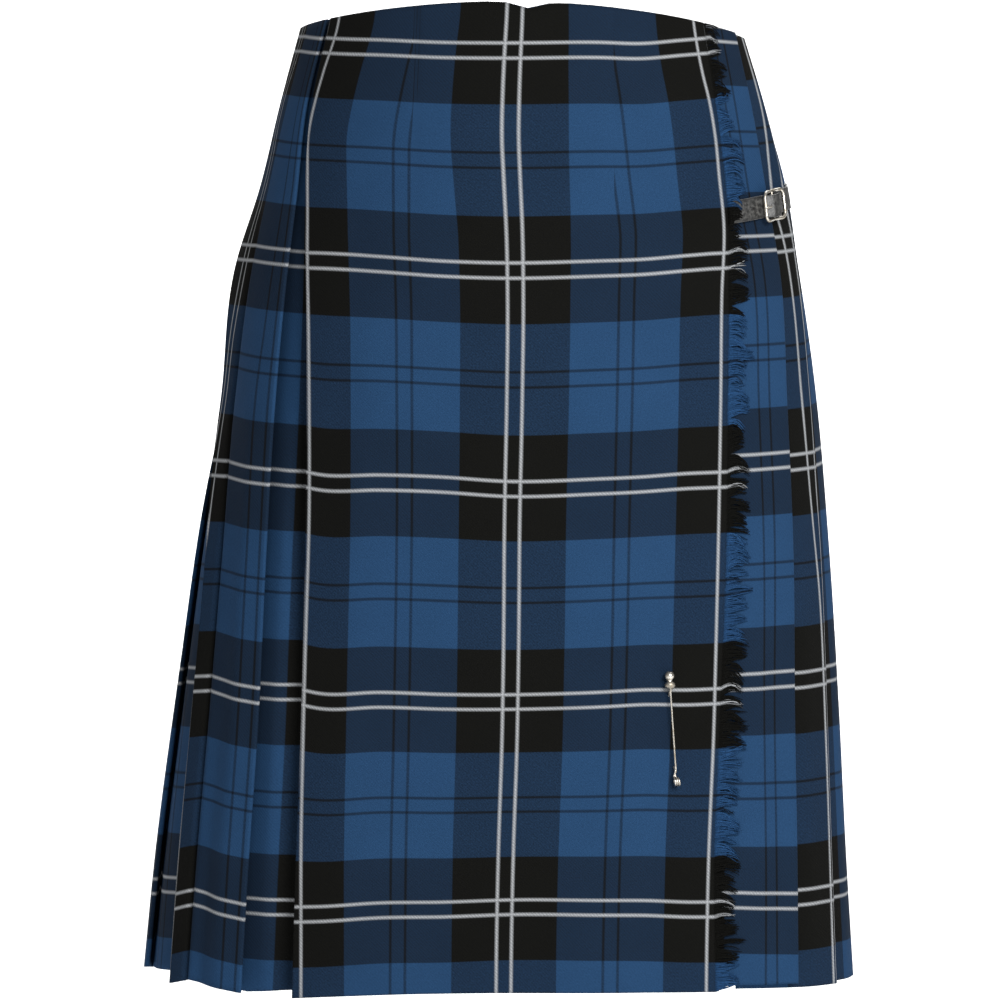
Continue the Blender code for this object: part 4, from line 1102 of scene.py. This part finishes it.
# ------------------------------
# Buckle prong. A bent silver-plated wire, hooked round the middle bar, through a hole of the
# strap, with its tip on the left side bar.
# ------------------------------
PRONG = 0.7 * MM
around = BAR + GAP + PRONG
REST = FRAME_OUT + BAR + GAP + PRONG
prong_path = round_bar(around, 30, -171)
prong_path += [(-3.0 * MM, CENTRE_OUT + 0.8 * MM), (-5.8 * MM, REST - 0.9 * MM), (-HALF_LONG, REST),
               (-HALF_LONG - 1.4 * MM, REST - 0.1 * MM)]
prong_rows, prong_at = smooth_path(prong_path, 60)
prong_line = HIP.place(np.insert(prong_rows, 1, 0.0, axis=1))
taper = PRONG * np.interp(prong_at / prong_at[-1], (0, 0.03, 0.7, 0.97, 1), (0.5, 1, 1, 0.85, 0.4))
prong = joined("buckle_prong_wire", [strands(prong_line[None], taper, 10, (0.0, 0.0, 1.0))], SILVER)
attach(prong, "root")
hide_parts("buckle_prong")

# ------------------------------
# Kilt pin. Silver-plated wire with a cast double-lobed head; the wire is coiled at the foot and
# comes back behind as the needle, through the over apron only.
# ------------------------------
PIN_OUT = 3.4 * MM
PIN_LENGTH = 61.5 * MM
PIN_TOP_Z, PIN_X, PIN_LEAN = -0.3835, 0.0903, 0.066
WIRE, NEEDLE = 0.58 * MM, 0.5 * MM  # radii
COIL_RADIUS, COIL_HALF, COIL_STEPS = 2.3 * MM, 1.7, 72  # half its width in mm


def on_front(rows):
    """Points along the kilt pin: down from the head, sideways and out from the cloth's outer face."""
    down, side, out = np.asarray(rows, float).T
    z = PIN_TOP_Z - down
    along = [PIN_PATCH.rows[10].at_x(PIN_X + PIN_LEAN * d) for d in down]
    return PIN_PATCH.place(np.array(along) + side, z, out + WALL / 2)


PIN_PATCH = Patch(-0.370, -0.455, 20)
head = np.array((
    (-6.4, 0.3), (-6.1, 1.3), (-5.4, 2.3), (-4.3, 3.0), (-3.1, 3.2), (-2.0, 2.8), (-1.2, 2.0), (-0.6, 1.5),
    (0.0, 1.9), (0.8, 2.9), (1.9, 3.4), (3.0, 3.2), (4.0, 2.4), (4.8, 1.4), (5.5, 0.8), (6.5, 0.6),
)) * MM
shaft = np.linspace(9 * MM, PIN_LENGTH - 6 * MM, 12)
down = np.concatenate((head[:, 0], shaft))
size = np.concatenate((head[:, 1], np.full(len(shaft), WIRE)))
body = on_front(np.stack((down, down * 0, np.full(len(down), PIN_OUT)), axis=1))
turns = np.linspace(0, 2 * math.pi * 2.75, COIL_STEPS)
coil = np.stack((PIN_LENGTH - 0.6 * MM - COIL_RADIUS * np.cos(turns),
                 np.linspace(-COIL_HALF, COIL_HALF, COIL_STEPS) * MM,
                 PIN_OUT + 0.3 * MM + COIL_RADIUS * np.sin(turns)), axis=1)
leg = np.stack((np.linspace(PIN_LENGTH - 8 * MM, PIN_LENGTH - 2.9 * MM, 6),
                np.linspace(0, -COIL_HALF, 6) * MM, np.full(6, PIN_OUT)), axis=1)
wire = on_front(np.vstack((leg[:-1], coil)))
needle_rows = ((1.5, PIN_OUT / MM - 0.6), (7.1, 1.4), (9.5, -1.8), (11.5, -2.4), (30.7, -2.4),
               (50.0, -2.4), (52.0, -1.8), (54.4, 1.4), (59.0, PIN_OUT / MM - 1.4))
needle = on_front(np.insert(smooth_path(np.array(needle_rows) * MM, 70)[0], 1, 0.0, axis=1))
pin = joined("kilt_pin_metal", [
    strands(body[None], size, 14, (1.0, 0.0, 0.0)), strands(wire[None], WIRE, 8, (0.97, 0.2, 0.1)),
    strands(needle[None], NEEDLE, 8, (1.0, 0.0, 0.0))], SILVER)
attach(pin, "root")
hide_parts("kilt_pin")

# ------------------------------
# Floor, light and camera.
# ------------------------------
floor_mesh = bpy.data.meshes.new("studio_floor")
FLOOR_Z = -0.75
floor_mesh.from_pydata([(-30, -12, FLOOR_Z), (30, -12, FLOOR_Z), (30, 60, FLOOR_Z), (-30, 60, FLOOR_Z)],
                       [], [(0, 1, 2, 3)])
floor = bpy.data.objects.new("studio_floor", floor_mesh)
bpy.context.collection.objects.link(floor)
floor_mesh.materials.append(material("studio_white", {
    "Base Color": (0.95, 0.95, 0.95, 1), "Roughness": 1.0, "Specular IOR Level": 0.0})[0])

world = bpy.data.worlds.new("studio")
world.use_nodes = True
world.node_tree.nodes["Background"].inputs["Color"].default_value = (1, 1, 1, 1)
world.node_tree.nodes["Background"].inputs["Strength"].default_value = 0.32
bpy.context.scene.world = world


def softbox(name, place, aim, size, power):
    light = bpy.data.lights.new(name, "AREA")
    light.shape = "RECTANGLE"
    light.size, light.size_y = size
    light.energy = power
    lamp = bpy.data.objects.new(name, light)
    bpy.context.collection.objects.link(lamp)
    lamp.location = place
    way = np.array(aim) - np.array(place)
    lamp.rotation_euler = (math.atan2(math.hypot(way[0], way[1]), -way[2]), 0.0, math.atan2(-way[0], way[1]))


softbox("key_light", (1.3, -3.0, 1.2), (0, 0, -0.25), (1.6, 1.6), 160)
softbox("floor_light", (0.0, 8.5, 4.5), (0, 8.5, -1.0), (5, 15), 1100)

TARGET = (-0.01236, 0.0, -0.284)
PITCH = math.radians(5.0)
DISTANCE = 10.0
camera = bpy.data.cameras.new("camera")
camera.sensor_width = 36.0
camera.lens = 582.5
camera.clip_end = 200.0
view = bpy.data.objects.new("camera", camera)
bpy.context.collection.objects.link(view)
view.location = (TARGET[0], TARGET[1] - DISTANCE * math.cos(PITCH), TARGET[2] + DISTANCE * math.sin(PITCH))
view.rotation_euler = (math.pi / 2 - PITCH, 0.0, 0.0)
bpy.context.scene.camera = view
bpy.context.scene.view_settings.view_transform = "Standard"
